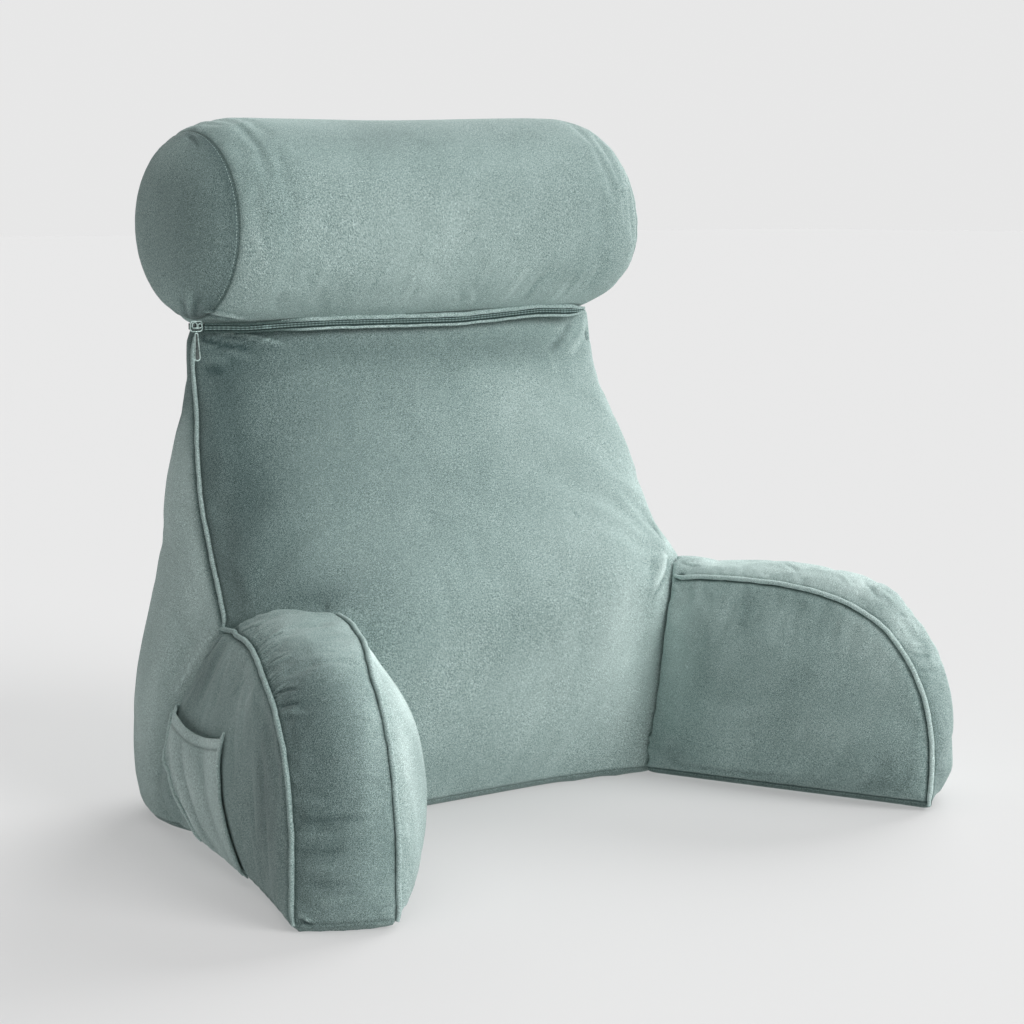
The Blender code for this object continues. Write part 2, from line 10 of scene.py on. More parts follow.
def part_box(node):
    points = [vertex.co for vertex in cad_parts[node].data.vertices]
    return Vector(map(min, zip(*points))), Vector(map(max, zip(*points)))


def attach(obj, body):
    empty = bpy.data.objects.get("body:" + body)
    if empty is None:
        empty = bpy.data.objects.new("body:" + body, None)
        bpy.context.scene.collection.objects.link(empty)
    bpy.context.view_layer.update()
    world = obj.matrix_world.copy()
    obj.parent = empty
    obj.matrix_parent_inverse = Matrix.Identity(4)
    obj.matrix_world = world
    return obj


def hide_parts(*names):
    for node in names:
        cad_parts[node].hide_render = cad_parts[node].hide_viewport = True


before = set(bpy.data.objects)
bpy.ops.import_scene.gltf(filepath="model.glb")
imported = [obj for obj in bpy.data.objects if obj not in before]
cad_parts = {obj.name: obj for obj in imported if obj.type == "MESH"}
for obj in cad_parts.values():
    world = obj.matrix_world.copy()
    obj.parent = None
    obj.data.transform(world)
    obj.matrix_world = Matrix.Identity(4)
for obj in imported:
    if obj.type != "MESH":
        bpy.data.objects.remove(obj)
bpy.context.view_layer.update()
scene = bpy.context.scene
print("frame loaded")


# ---- camera, floor and light ----
photoCamera = {
    "place": (-1.2733, -1.6492, 0.5132),   # metres, in the pillow's frame
    "lookDown": 7.144,                     # degrees
    "turn": -37.98,
    "lens": 87.79,
    "sensor": 36.0,
    "imageSize": 1024,
}


def cameraTurn():
    tilt = radians(90 - photoCamera["lookDown"])
    return Euler((tilt, 0, radians(photoCamera["turn"])))


def makeCamera():
    data = bpy.data.cameras.new("photoCamera")
    data.lens = photoCamera["lens"]
    data.sensor_width = photoCamera["sensor"]
    camera = bpy.data.objects.new("photoCamera", data)
    scene.collection.objects.link(camera)
    camera.location = photoCamera["place"]
    camera.rotation_euler = cameraTurn()
    scene.camera = camera


def pixelStep():
    # a pixel's width one metre in front of the camera, and the middle of the image
    size = photoCamera["imageSize"]
    return photoCamera["sensor"] / photoCamera["lens"] / size, size / 2


def pixelRay(px, py):
    # where the camera looks through one pixel of the photograph
    step, middle = pixelStep()
    look = Vector(((px - middle) * step, (middle - py) * step, -1))
    return Vector(photoCamera["place"]), (cameraTurn().to_matrix() @ look).normalized()


def photoPixels(co):
    # the photograph's pixel of each point
    step, middle = pixelStep()
    local = (co - np.array(photoCamera["place"])) @ np.array(cameraTurn().to_matrix())
    return middle - local[:, 0] / local[:, 2] / step, middle + local[:, 1] / local[:, 2] / step


stageLook = {
    "floorHalf": 30.0,
    "floorGrey": 0.40,
    "floorGlow": 0.346,      # a lit paper sweep: its shadows stay soft and pale
    "backGrey": 0.802,       # what the camera sees behind the floor's far edge
    "ambientColor": (0.97, 0.99, 1.0, 1),
    "ambient": 0.06,
    "suns": (
        {"name": "keyLight", "from": (0.30, -0.80, 0.50), "strength": 1.95, "spread": 40},
        {"name": "rimLight", "from": (0.90, 0.38, 0.40), "strength": 3.95, "spread": 48},
        {"name": "topLight", "from": (0.0, 0.0, 1.0), "strength": 1.0, "spread": 60},
    ),
}


def meshFrom(name, bm):
    mesh = bpy.data.meshes.new(name)
    bm.to_mesh(mesh)
    bm.free()
    return mesh


def startMaterial(name):
    material = bpy.data.materials.new(name)
    material.use_nodes = True
    tree = material.node_tree
    return material, tree, tree.nodes["Principled BSDF"]


def fillSockets(tree, node, values):
    # each value is a number, a colour or the output that feeds the socket
    for key, value in values.items():
        if isinstance(value, bpy.types.NodeSocket):
            tree.links.new(value, node.inputs[key])
        else:
            node.inputs[key].default_value = value


def addNode(tree, kind, values=None, **settings):
    node = tree.nodes.new("ShaderNode" + kind)
    for key, setting in settings.items():
        setattr(node, key, setting)
    fillSockets(tree, node, values or {})
    return node


def addSun(values):
    data = bpy.data.lights.new(values["name"], "SUN")
    data.energy = values["strength"]
    data.angle = radians(values["spread"])
    sun = bpy.data.objects.new(values["name"], data)
    scene.collection.objects.link(sun)
    sun.rotation_euler = Vector(values["from"]).to_track_quat("Z", "Y").to_euler()


def makeStage():
    look = stageLook
    bm = bmesh.new()
    bmesh.ops.create_grid(bm, x_segments=1, y_segments=1, size=look["floorHalf"])
    floor = bpy.data.objects.new("floor", meshFrom("floor", bm))
    scene.collection.objects.link(floor)
    paper, tree, shader = startMaterial("palePaper")
    grey = look["floorGrey"]
    fillSockets(tree, shader, {"Base Color": (grey, grey, grey, 1), "Roughness": 1.0,
                               "Specular IOR Level": 0.0, "Emission Color": (1, 1, 1, 1),
                               "Emission Strength": look["floorGlow"]})
    floor.data.materials.append(paper)

    world = bpy.data.worlds.new("studio")
    scene.world = world
    world.use_nodes = True
    tree = world.node_tree
    tree.nodes.clear()
    path = addNode(tree, "LightPath")
    light = addNode(tree, "Background", {"Color": look["ambientColor"], "Strength": look["ambient"]})
    seen = addNode(tree, "Background", {"Color": (1, 1, 1, 1), "Strength": look["backGrey"]})
    values = {0: path.outputs["Is Camera Ray"], 1: light.outputs[0], 2: seen.outputs[0]}
    addNode(tree, "OutputWorld", {0: addNode(tree, "MixShader", values).outputs[0]})
    for values in look["suns"]:
        addSun(values)
    scene.view_settings.view_transform = "Standard"


makeCamera()
makeStage()
print("camera and stage ready")


# ---- materials ----
velvetLook = {
    "dark": (0.108, 0.172, 0.162),
    "middle": (0.280, 0.384, 0.367),
    "light": (0.530, 0.665, 0.642),
    # the colour that painted shade along seams, hems and the foot mixes in
    "paintedShadeTint": (0.07, 0.12, 0.11, 1),
    "napTint": (1.06, 1.0, 0.99),      # darker and greener where the pile leans away and where shade is painted
    "paleTint": (0.16, 0.0, 0.02),     # greyer too where the pile leans towards the eye and where light is painted
    "sheenTint": (0.86, 0.95, 0.93, 1),
    "patchScale": 9.0,       # hand-brushed areas, per metre
    "patchStrength": 0.30,
    "smearScale": 26.0,
    "smearLean": 14,
    "smearLength": 3.0,
    "grainScale": 1500.0,    # the pile's short strokes
    "grainLength": 2.5,
    "grainStrength": 2.2,
    "pileScale": 2500.0,
    "pileStrength": 1.9,
    "speckleScale": 170.0,   # where strokes and pile show more, in small and in large spots
    "areaScale": 13.0,
    "napHides": 0.6,
    "grainBump": 0.0006,     # metres
    "sheen": 0.27,
    "sheenRoughness": 0.42,
}


def addNoise(tree, coords, scale, detail, roughness=0.5, distortion=0.0):
    values = {"Vector": coords, "Scale": scale, "Detail": detail, "Roughness": roughness,
              "Distortion": distortion}
    return addNode(tree, "TexNoise", values).outputs["Fac"]


def addMath(tree, operation, first, second):
    return addNode(tree, "Math", {0: first, 1: second}, operation=operation).outputs[0]


def addVectorMath(tree, operation, values):
    return addNode(tree, "VectorMath", values, operation=operation).outputs["Vector"]


def rescaled(tree, value, low, high, newLow, newHigh):
    values = {"Value": value, "From Min": low, "From Max": high, "To Min": newLow, "To Max": newHigh}
    return addNode(tree, "MapRange", values, interpolation_type="SMOOTHSTEP").outputs["Result"]


def turnedCoords(tree, turn, stretch):
    # object coordinates turned, then drawn out along the turned z
    values = {"Vector": addNode(tree, "TexCoord").outputs["Object"],
              "Rotation": [radians(a) for a in turn], "Scale": (1, 1, stretch)}
    return addNode(tree, "Mapping", values, vector_type="TEXTURE").outputs["Vector"]


def spotValue(tree, name):
    return addNode(tree, "Attribute", attribute_name=name).outputs["Fac"]


def addRamp(tree, value, stops, brightness=1.0):
    node = addNode(tree, "ValToRGB", {"Fac": value})
    ramp = node.color_ramp
    while len(ramp.elements) < len(stops):
        ramp.elements.new(0.5)
    for element, (place, colour) in zip(ramp.elements, stops):
        element.position = place
        element.color = (*[c * brightness for c in colour], 1)
    return node.outputs["Color"]


def addBump(tree, shader, height, strength, distance):
    bump = addNode(tree, "Bump", {"Strength": strength, "Distance": distance, "Height": height})
    tree.links.new(bump.outputs["Normal"], shader.inputs["Normal"])


def makeVelvet(name, strokeTurn, streaks=0.16, brightness=1.0):
    # short pile: brushed patches, long smears, fine strokes, lighter and darker brushed areas with painted
    # light and shade in them, and painted shade along the seams and the foot
    look = velvetLook
    material, tree, shader = startMaterial(name)
    plain = turnedCoords(tree, (0, 0, 0), 1)
    strokes = turnedCoords(tree, strokeTurn, look["grainLength"])
    long = turnedCoords(tree, (strokeTurn[0], look["smearLean"], strokeTurn[2]), look["smearLength"])
    patches = addNoise(tree, plain, look["patchScale"], 3, 0.5, 0.4)
    smears = addNoise(tree, long, look["smearScale"], 3, 0.55)
    grain = addNoise(tree, strokes, look["grainScale"], 2, 0.6)
    pile = addNoise(tree, plain, look["pileScale"], 1)
    speckle = rescaled(tree, addNoise(tree, plain, look["speckleScale"], 2), 0.35, 0.65, 0.75, 1.15)
    areas = rescaled(tree, addNoise(tree, plain, look["areaScale"], 2), 0.38, 0.62, 0.75, 1.1)

    # the pile that leans away shows more of its strokes, and so does painted shade from the same attribute
    napAndPaintedLight = spotValue(tree, "napAndPaintedLight")
    depth = addMath(tree, "SUBTRACT", 1.0, addMath(tree, "MULTIPLY", napAndPaintedLight, look["napHides"]))
    depth = addMath(tree, "MULTIPLY", depth, speckle)
    tone = 0.5
    for value, strength, share in ((patches, look["patchStrength"], None), (smears, streaks, None),
                                   (grain, look["grainStrength"], addMath(tree, "MULTIPLY", areas, depth)),
                                   (pile, look["pileStrength"], depth)):
        part = addMath(tree, "MULTIPLY", addMath(tree, "SUBTRACT", value, 0.5), strength)
        part = addMath(tree, "MULTIPLY", part, share) if share else part
        tone = addMath(tree, "ADD", part, tone)
    stops = ((0.05, look["dark"]), (0.5, look["middle"]), (0.95, look["light"]))
    colour = addRamp(tree, tone, stops, brightness)

    towards = addMath(tree, "MAXIMUM", napAndPaintedLight, 0.0)
    pale = addVectorMath(tree, "SCALE", {"Vector": look["paleTint"], "Scale": towards})
    tint = addVectorMath(tree, "MULTIPLY_ADD", {0: napAndPaintedLight, 1: look["napTint"], 2: pale})
    brushed = addVectorMath(tree, "MULTIPLY_ADD", {0: colour, 1: tint, 2: colour})
    # painted shade: darker along seams, hems and the foot, by the attribute's amount
    shade = addNode(tree, "Mix", {"B": look["paintedShadeTint"], "Factor": spotValue(tree, "paintedShade"), "A": brushed},
                    data_type="RGBA", blend_type="MULTIPLY")
    height = addMath(tree, "ADD", grain, addMath(tree, "MULTIPLY", pile, 0.35))
    addBump(tree, shader, height, 0.6, look["grainBump"])
    fillSockets(tree, shader, {"Base Color": shade.outputs["Result"], "Roughness": 0.88,
                               "Specular IOR Level": 0.15, "Sheen Weight": look["sheen"],
                               "Sheen Roughness": look["sheenRoughness"], "Sheen Tint": look["sheenTint"]})
    return material


def makeZipCloth(name, colour, threadScale, roughness):
    # woven tape and moulded coil: one ground colour, fine threads across it
    material, tree, shader = startMaterial(name)
    plain = turnedCoords(tree, (0, 0, 0), 1)
    wave = addNode(tree, "TexWave", {"Scale": threadScale, "Distortion": 1.5, "Vector": plain},
                   bands_direction="X")
    fleck = addNoise(tree, plain, 900.0, 2)
    tone = addMath(tree, "ADD", addMath(tree, "MULTIPLY", wave.outputs["Fac"], 0.5),
                   addMath(tree, "MULTIPLY", fleck, 0.5))
    stops = ((0.2, [c * 0.6 for c in colour]), (0.8, [c * 1.35 for c in colour]))
    fillSockets(tree, shader, {"Base Color": addRamp(tree, tone, stops), "Roughness": roughness})
    addBump(tree, shader, tone, 0.5, 0.0004)
    return material


def makeEnamel(name, brightness):
    material, tree, shader = startMaterial(name)
    rub = addNoise(tree, turnedCoords(tree, (0, 0, 0), 1), 420.0, 3)
    stops = ((0.3, (0.26, 0.35, 0.33)), (0.62, (0.42, 0.53, 0.505)), (0.75, (0.60, 0.71, 0.69)))
    fillSockets(tree, shader, {"Base Color": addRamp(tree, rub, stops, brightness),
                               "Roughness": rescaled(tree, rub, 0.3, 0.7, 0.22, 0.42),
                               "Metallic": 0.35, "Coat Weight": 0.25, "Coat Roughness": 0.2})
    return material


velvets = {
    "back": makeVelvet("velvetBack", (0, -45, 8), 0.22),
    "roll": makeVelvet("velvetRoll", (8, -38, 0), 0.22),
    "armLeft": makeVelvet("velvetArmLeft", (20, -70, 35), 0.50),
    "armRight": makeVelvet("velvetArmRight", (25, -42, -20), 0.42),
    # the trim is a lighter copy of the velvet: a painted highlight on pipings, lips and stitches
    "trim": makeVelvet("velvetTrim", (0, -60, 0), 0.2, 1.10),
    "pocket": makeVelvet("velvetPocket", (15, 10, 60), 0.40, 1.05),
}
zipFinish = {
    "tape": makeZipCloth("zipTapeWeave", (0.045, 0.082, 0.077), 260.0, 0.9),
    "coil": makeZipCloth("zipCoilNylon", (0.32, 0.45, 0.43), 90.0, 0.42),
    # one enamel twice: lighter for the wires, a painted highlight, and much darker for the slider's body and
    # the pull's plate, painted shade
    "litEnamel": makeEnamel("zipEnamelPaintedHighlight", 1.28),
    "shadedEnamel": makeEnamel("zipEnamelPaintedShade", 0.18),
}
print("materials made")


# ---- mesh helpers ----
def addPiece(name, mesh, material):
    mesh.materials.clear()
    mesh.materials.append(material)
    piece = bpy.data.objects.new(name, mesh)
    scene.collection.objects.link(piece)
    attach(piece, "root")
    return piece


def solidCopy(node):
    # a copy of a CAD solid with its loose triangles merged
    bm = bmesh.new()
    bm.from_mesh(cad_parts[node].data)
    bmesh.ops.remove_doubles(bm, verts=bm.verts, dist=0.00002)
    return meshFrom(node + "Copy", bm)


def evaluatedMesh(holder):
    bpy.context.view_layer.update()
    graph = bpy.context.evaluated_depsgraph_get()
    return bpy.data.meshes.new_from_object(holder.evaluated_get(graph), depsgraph=graph)


def applyModifiers(piece):
    mesh = evaluatedMesh(piece)
    piece.modifiers.clear()
    piece.data = mesh


def shapeWith(piece, kind, **settings):
    # one modifier, applied
    modifier = piece.modifiers.new(kind.lower(), kind)
    for key, value in settings.items():
        setattr(modifier, key, value)
    applyModifiers(piece)


def subdivide(piece):
    shapeWith(piece, "SUBSURF", levels=1, render_levels=1)
    piece.data.shade_smooth()


def readVectors(collection, key):
    out = np.empty(len(collection) * 3)
    collection.foreach_get(key, out)
    return out.reshape(-1, 3)


def getPoints(piece):
    return readVectors(piece.data.vertices, "co")


def getNormals(piece):
    return readVectors(piece.data.vertex_normals, "vector")


def setPoints(piece, co):
    piece.data.vertices.foreach_set("co", co.reshape(-1))
    piece.data.update()


def setSpots(piece, name, amount):
    layer = piece.data.attributes.get(name) or piece.data.attributes.new(name, "FLOAT", "POINT")
    layer.data.foreach_set("value", np.broadcast_to(amount, len(piece.data.vertices)).astype(float))


def treeFrom(*meshes):
    verts, faces = [], []
    for mesh in meshes:
        faces += [[k + len(verts) for k in p.vertices] for p in mesh.polygons]
        verts += [v.co[:] for v in mesh.vertices]
    return BVHTree.FromPolygons(verts, faces)


def nodeTree(*nodes):
    return treeFrom(*[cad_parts[node].data for node in nodes])


def gapTo(tree, co):
    return np.array([tree.find_nearest(Vector(p))[3] for p in co])


def smoothStep(value):
    t = np.clip(value, 0, 1)
    return t * t * (3 - 2 * t)


def bell(value, width):
    return np.exp(-(value / width) ** 2)


def stepsAlong(line):
    # how far along a line each of its points lies
    return np.concatenate(([0], np.cumsum(np.linalg.norm(np.diff(line, axis=0), axis=1))))


def resampleLine(points, spacing):
    points = np.asarray(points, dtype=float)
    reach = stepsAlong(points)
    steps = max(2, int(round(reach[-1] / spacing)) + 1)
    at = np.linspace(0, reach[-1], steps)
    return np.stack([np.interp(at, reach, points[:, k]) for k in range(3)], axis=1)


def roundedLine(points, spacing):
    # Catmull-Rom through the points, then even steps
    points = np.asarray(points, dtype=float)
    ends = np.vstack((2 * points[0] - points[1], points, 2 * points[-1] - points[-2]))
    fine = []
    for a, b, c, d in zip(ends, ends[1:], ends[2:], ends[3:]):
        for t in np.linspace(0, 1, 12, endpoint=False):
            fine.append(0.5 * (2 * b + (c - a) * t + (2 * a - 5 * b + 4 * c - d) * t**2
                               + (3 * b - a - 3 * c + d) * t**3))
    fine.append(points[-1])
    return resampleLine(fine, spacing)


def evenLine(line, rounds):
    for step in range(rounds):
        line[1:-1] = 0.25 * line[:-2] + 0.5 * line[1:-1] + 0.25 * line[2:]
    return line


def nearLine(co, line):
    # distance to a line, how far along it (metres), and the nearest point
    reach = stepsAlong(line)
    best = np.full(len(co), 9.0)
    along = np.zeros(len(co))
    foot = np.zeros_like(co)
    for k, (a, b) in enumerate(zip(line, line[1:])):
        run = b - a
        t = np.clip((co - a) @ run / (run @ run), 0, 1)
        spot = a + t[:, None] * run
        gap = np.linalg.norm(co - spot, axis=1)
        closer = gap < best
        best[closer] = gap[closer]
        along[closer] = (reach[k] + t * (reach[k + 1] - reach[k]))[closer]
        foot[closer] = spot[closer]
    return best, along, foot


def inBox(co, line, room):
    return np.all((co > line.min(axis=0) - room) & (co < line.max(axis=0) + room), axis=1)


def waves(value, seed):
    # a smooth, uneven wobble between about -1 and 1, the same each run
    rng = np.random.default_rng(seed)
    total = np.zeros_like(value)
    for size in (1.0, 1.7, 2.9, 4.6):
        total += np.sin(value * size * 2 * pi + rng.uniform(0, 2 * pi)) / size**0.6
    return total / 2.2


def refineWhere(piece, chosen, cuts=1):
    # smaller faces where both ends of an edge are chosen
    bm = bmesh.new()
    bm.from_mesh(piece.data)
    edges = [e for e in bm.edges if chosen[e.verts[0].index] and chosen[e.verts[1].index]]
    bmesh.ops.subdivide_edges(bm, edges=edges, cuts=cuts, use_grid_fill=True)
    bm.to_mesh(piece.data)
    bm.free()
    piece.data.shade_smooth()


# ---- seams, from the middle of each piping's solid ----
def nodePoints(node):
    return np.array([v.co[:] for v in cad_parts[node].data.vertices])


def ringCentres(co, key, gap):
    order = np.argsort(key)
    splits = np.nonzero(np.diff(key[order]) > gap)[0] + 1
    return np.array([np.unique(np.round(co[ring], 5), axis=0).mean(axis=0)
                     for ring in np.split(order, splits)])


def backSeam(side):
    co = nodePoints("piping_back_" + side)
    return ringCentres(co, co[:, 2], 0.003)


def armSeam(kind, side):
    # from its foot at the floor, over the arm, to its end at the back
    co = nodePoints("piping_arm_" + kind + "_" + side)
    rear = co[co[:, 1].argmax()]
    out = np.linalg.norm(co[:, :2] - rear[:2], axis=1)
    return ringCentres(co, np.arctan2(co[:, 2], out) * 0.2, 0.002)


seams = {}
for side in ("left", "right"):
    seams["back", side] = roundedLine(backSeam(side), 0.003)
    for kind in ("inner", "outer"):
        seams[kind, side] = roundedLine(armSeam(kind, side), 0.003)


# ---- small shifts of the whole stuffing, where the photograph's outline differs ----
armLean = {
    "turn": radians(22),     # how far the arms splay
    "middle": 0.0077,        # where their middle planes meet, along y
}

# the neck and roll stand a little higher at one end
topLean = {
    "right": 0.0042,
    "left": -0.0012,
}

# round a pixel of the photograph: the spot's half width and height in pixels, then millimetres
# to the camera's right and up
outlineShifts = (
    (150, 220, 48, 95, 4, 0), (610, 268, 62, 44, 5.8, 0), (612, 362, 46, 46, -6.8, 0),
    (655, 522, 26, 34, -6.2, -3), (150, 398, 52, 52, 5.2, 0), (650, 556, 20, 26, -1.5, -4),
    (945, 660, 58, 72, -5.8, 0), (186, 664, 22, 26, 6, 0), (890, 566, 42, 26, 5, 1.8),
    (725, 554, 64, 16, 0, -3.4), (370, 118, 170, 40, 0, -2.2), (640, 490, 26, 26, -2.2, 0),
    (925, 625, 30, 34, -2.2, -2), (246, 644, 24, 22, 3, 3.4), (197, 368, 8, 34, -3.6, 0),
)

# the same at the foot, below a height: millimetres towards the camera
footShifts = (
    (320, 925, 110, 60, 9.5), (640, 850, 260, 70, 8.5),
)
footLook = {
    "shiftHeight": 0.05,
    "stays": 0.006,          # nothing lower than this goes up or down
    "lowest": 0.003,
}

# how far out an arm's inner seam lies from its solid's, in metres, by share of its length from the foot
seamMoves = {
    "right": {"share": (0, 0.16, 0.30, 0.45, 0.62, 0.76, 0.88, 1), "reach": 0.022, "inward": 0.0,
              "out": (0.0020, 0.0078, 0.0112, 0.0115, 0.0080, 0.0046, 0.0026, 0)},
    "left": {"share": (0, 0.55, 0.70, 0.85, 1), "reach": 0.018, "inward": 0.9,
             "out": (0, 0, 0.0050, 0.0062, 0.0050)},
}


def seamSteps(co):
    steps = np.zeros_like(co)
    for side, look in seamMoves.items():
        line = seams["inner", side]
        near = inBox(co, line, 3 * look["reach"])
        if not near.any():
            continue
        gap, along = nearLine(co[near], line)[:2]
        share = along / stepsAlong(line)[-1]
        amount = np.interp(share, look["share"], look["out"]) * bell(gap, look["reach"])
        across = np.array((cos(armLean["turn"]), sin(armLean["turn"]), 0))
        if side == "left":
            across[0] *= -1
        out = np.cross(np.gradient(line, axis=0), across)
        out *= np.sign(out[len(out) // 2, 2])
        out /= np.linalg.norm(out, axis=1, keepdims=True)
        out = out - look["inward"] * across
        spot = np.clip(np.round(share * (len(line) - 1)).astype(int), 0, len(line) - 1)
        steps[near] += amount[:, None] * out[spot]
    return steps


def topLift(co):
    x, z = co[:, 0], co[:, 2]
    lift = topLean["right"] * smoothStep((x + 0.06) / 0.24)
    lift = lift + topLean["left"] * smoothStep((-x - 0.06) / 0.12)
    return lift * smoothStep((z - 0.33) / 0.07)


def settle(co):
    px, py = photoPixels(co)
    turn = np.array(cameraTurn().to_matrix())
    right, toward = turn[:, 0], np.array((turn[0, 2], turn[1, 2], 0))
    moved = co + seamSteps(co)
    moved[:, 2] += topLift(co)
    for x, y, wide, tall, aside, up in outlineShifts:
        share = bell(px - x, wide) * bell(py - y, tall) / 1000
        moved += share[:, None] * (right * aside + np.array((0, 0, up)))
    low = 1 - smoothStep((co[:, 2] - footLook["shiftHeight"]) / footLook["shiftHeight"])
    for x, y, wide, tall, near in footShifts:
        share = bell(px - x, wide) * bell(py - y, tall) * low / 1000
        moved += share[:, None] * toward * near
    height = np.maximum(moved[:, 2], footLook["lowest"])
    moved[:, 2] = np.where(co[:, 2] < footLook["stays"], co[:, 2], height)
    return moved


# ---- padded pieces ----
clothLook = {
    "quality": 4,
    "mass": 0.25,
    "stiffness": 12.0,
    "frames": 20,
    "evenRounds": 60,
    "mostMove": 0.004,
    "touchHold": (0.003, 0.012),
    "fineFoot": 0.013,       # finer faces below this
}


def hold(gap, near, fade):
    # 1 up to a distance, then fading to 0
    return 1 - smoothStep((gap - near) / fade)


def puff(piece, held, values):
    # cloth blown up a little, held at its seams and where it touches its neighbours
    start = getPoints(piece)
    look = clothLook
    group = piece.vertex_groups.new(name="held")
    for k in np.nonzero(held > 0.02)[0]:
        group.add([int(k)], float(min(held[k], 1.0)), "REPLACE")
    cloth = piece.modifiers.new("puff", "CLOTH")
    settings = cloth.settings
    settings.quality = look["quality"]
    settings.mass = look["mass"]
    settings.tension_stiffness = look["stiffness"]
    settings.compression_stiffness = look["stiffness"]
    settings.shear_stiffness = look["stiffness"] * 0.5
    settings.bending_stiffness = values["bending"]
    settings.use_pressure = True
    settings.uniform_pressure_force = values["pressure"]
    settings.shrink_min = -values["spare"]
    settings.effector_weights.gravity = 0
    settings.vertex_group_mass = "held"
    cloth.point_cache.frame_start = 1
    cloth.point_cache.frame_end = look["frames"]
    for step in range(1, look["frames"] + 1):
        scene.frame_set(step)
    applyModifiers(piece)
    scene.frame_set(1)
    moved = getPoints(piece) - start
    swelling = evenedOut(piece, moved, look["evenRounds"])
    moved = (moved - swelling) * values["wrinkles"] + swelling * values["swelling"]
    length = np.linalg.norm(moved, axis=1, keepdims=True)
    limit = look["mostMove"]
    moved *= limit * np.tanh(length / limit) / np.maximum(length, 1e-9)
    setPoints(piece, start + moved)


def evenedOut(piece, moved, rounds):
    # the slow part of a movement: each point takes its neighbours' mean a few times over
    edges = np.empty(len(piece.data.edges) * 2, dtype=int)
    piece.data.edges.foreach_get("vertices", edges)
    one, other = edges.reshape(-1, 2).T
    count = np.bincount(np.concatenate((one, other)), minlength=len(moved))[:, None]
    slow = moved.copy()
    for step in range(rounds):
        total = np.zeros_like(slow)
        for axis in range(3):
            total[:, axis] = (np.bincount(one, slow[other, axis], len(moved))
                              + np.bincount(other, slow[one, axis], len(moved)))
        slow = 0.4 * slow + 0.6 * total / np.maximum(count, 1)
    return slow


def padPiece(name, node, look, velvet, seamGap, neighbours):
    # a CAD solid blown up; seamGap gives each point's distance to its nearest seam
    piece = addPiece(name, solidCopy(node), velvets[velvet])
    shapeWith(piece, "REMESH", mode="VOXEL", voxel_size=look["voxel"], use_smooth_shade=True)
    co = getPoints(piece)
    touching = hold(gapTo(nodeTree(*neighbours), co), *clothLook["touchHold"])
    held = np.maximum(hold(seamGap(co), *look["seamHold"]), touching)
    if "footHold" in look:
        held = np.maximum(held, hold(co[:, 2], 0.001, look["footHold"]))
    puff(piece, held, look)
    subdivide(piece)
    return piece


def padSewnPiece(name, node, look, velvet, sewn, neighbours):
    # the same, with finer faces round the foot and along the sewn seams, and settled
    def seamGap(co):
        return np.minimum(*[nearLine(co, line)[0] for line in sewn])

    piece = padPiece(name, node, look, velvet, seamGap, neighbours)
    refineWhere(piece, getPoints(piece)[:, 2] < clothLook["fineFoot"])
    refineWhere(piece, seamGap(getPoints(piece)) < look["fineReach"])
    setPoints(piece, settle(getPoints(piece)))
    return piece, [settle(line) for line in sewn]


def seenAt(tree, px, py):
    spot = tree.ray_cast(*pixelRay(px, py))[0]
    return None if spot is None else np.array(spot)


def fold(width, height, *pixels, tone=None, start=0.3, end=0.3):
    # a fold laid over the piece along pixels of the photograph; width and height in millimetres;
    # tone is painted light along it, a highlight above 0 and shade below, start and end the shares of its
    # length where it fades
    if tone is None:
        tone = float(np.sign(height)) * 0.22
    return {"width": width / 1000, "height": height / 1000, "pixels": pixels, "tone": tone,
            "start": start, "end": end}


def pressFolds(piece, folds):
    # each fold also gets painted light: a painted highlight on a ridge and painted shade in a dip
    tree = treeFrom(piece.data)
    co, normals = getPoints(piece), getNormals(piece)
    move = np.zeros(len(co))
    tone = np.zeros(len(co))
    for one in folds:
        spots = [seenAt(tree, *pixel) for pixel in one["pixels"]]
        spots = [spot for spot in spots if spot is not None]
        if len(spots) < 2:
            print("fold misses", piece.name, one["pixels"])
            continue
        line = roundedLine(spots, 0.004)
        near = inBox(co, line, 4 * one["width"])
        gap, along = nearLine(co[near], line)[:2]
        share = along / stepsAlong(line)[-1]
        taper = smoothStep(share / one["start"]) * smoothStep((1 - share) / one["end"])
        d = gap / one["width"]
        rise = taper * (1 - 0.5 * d**2) * np.exp(-0.5 * d**2)
        move[near] += one["height"] * rise
        tone[near] += one["tone"] * rise
    setPoints(piece, co + normals * move[:, None])
    return tone


darkestNapAndShade = -0.76


def paintNapAndLight(piece, patches, tone, areas):
    # soft lighter and darker patches on the sides that the camera sees: partly brushed velvet, partly painted
    # light and shade.
    # A patch is its pixel in the photograph, half width and height in pixels, gain, and turn in degrees
    co, normals = getPoints(piece), getNormals(piece)
    px, py = photoPixels(co)
    view = np.array(photoCamera["place"]) - co
    facing = np.einsum("ij,ij->i", normals, view) / np.linalg.norm(view, axis=1)
    seen = smoothStep((facing + 0.05) / 0.2)
    napAndPaintedLight = tone.copy()
    for area, rows in patches.items():
        for x, y, wide, tall, gain, *lean in rows:
            turn = radians(lean[0] if lean else 0)
            across = (px - x) * cos(turn) + (py - y) * sin(turn)
            down = (py - y) * cos(turn) - (px - x) * sin(turn)
            napAndPaintedLight += gain * bell(across, wide) * bell(down, tall) * seen * areas[area]
    setSpots(piece, "napAndPaintedLight", np.maximum(napAndPaintedLight, darkestNapAndShade))


shadeLook = {
    "off": 0.0031,           # the painted shade line lies beside the piping
    "width": 0.0021,
}


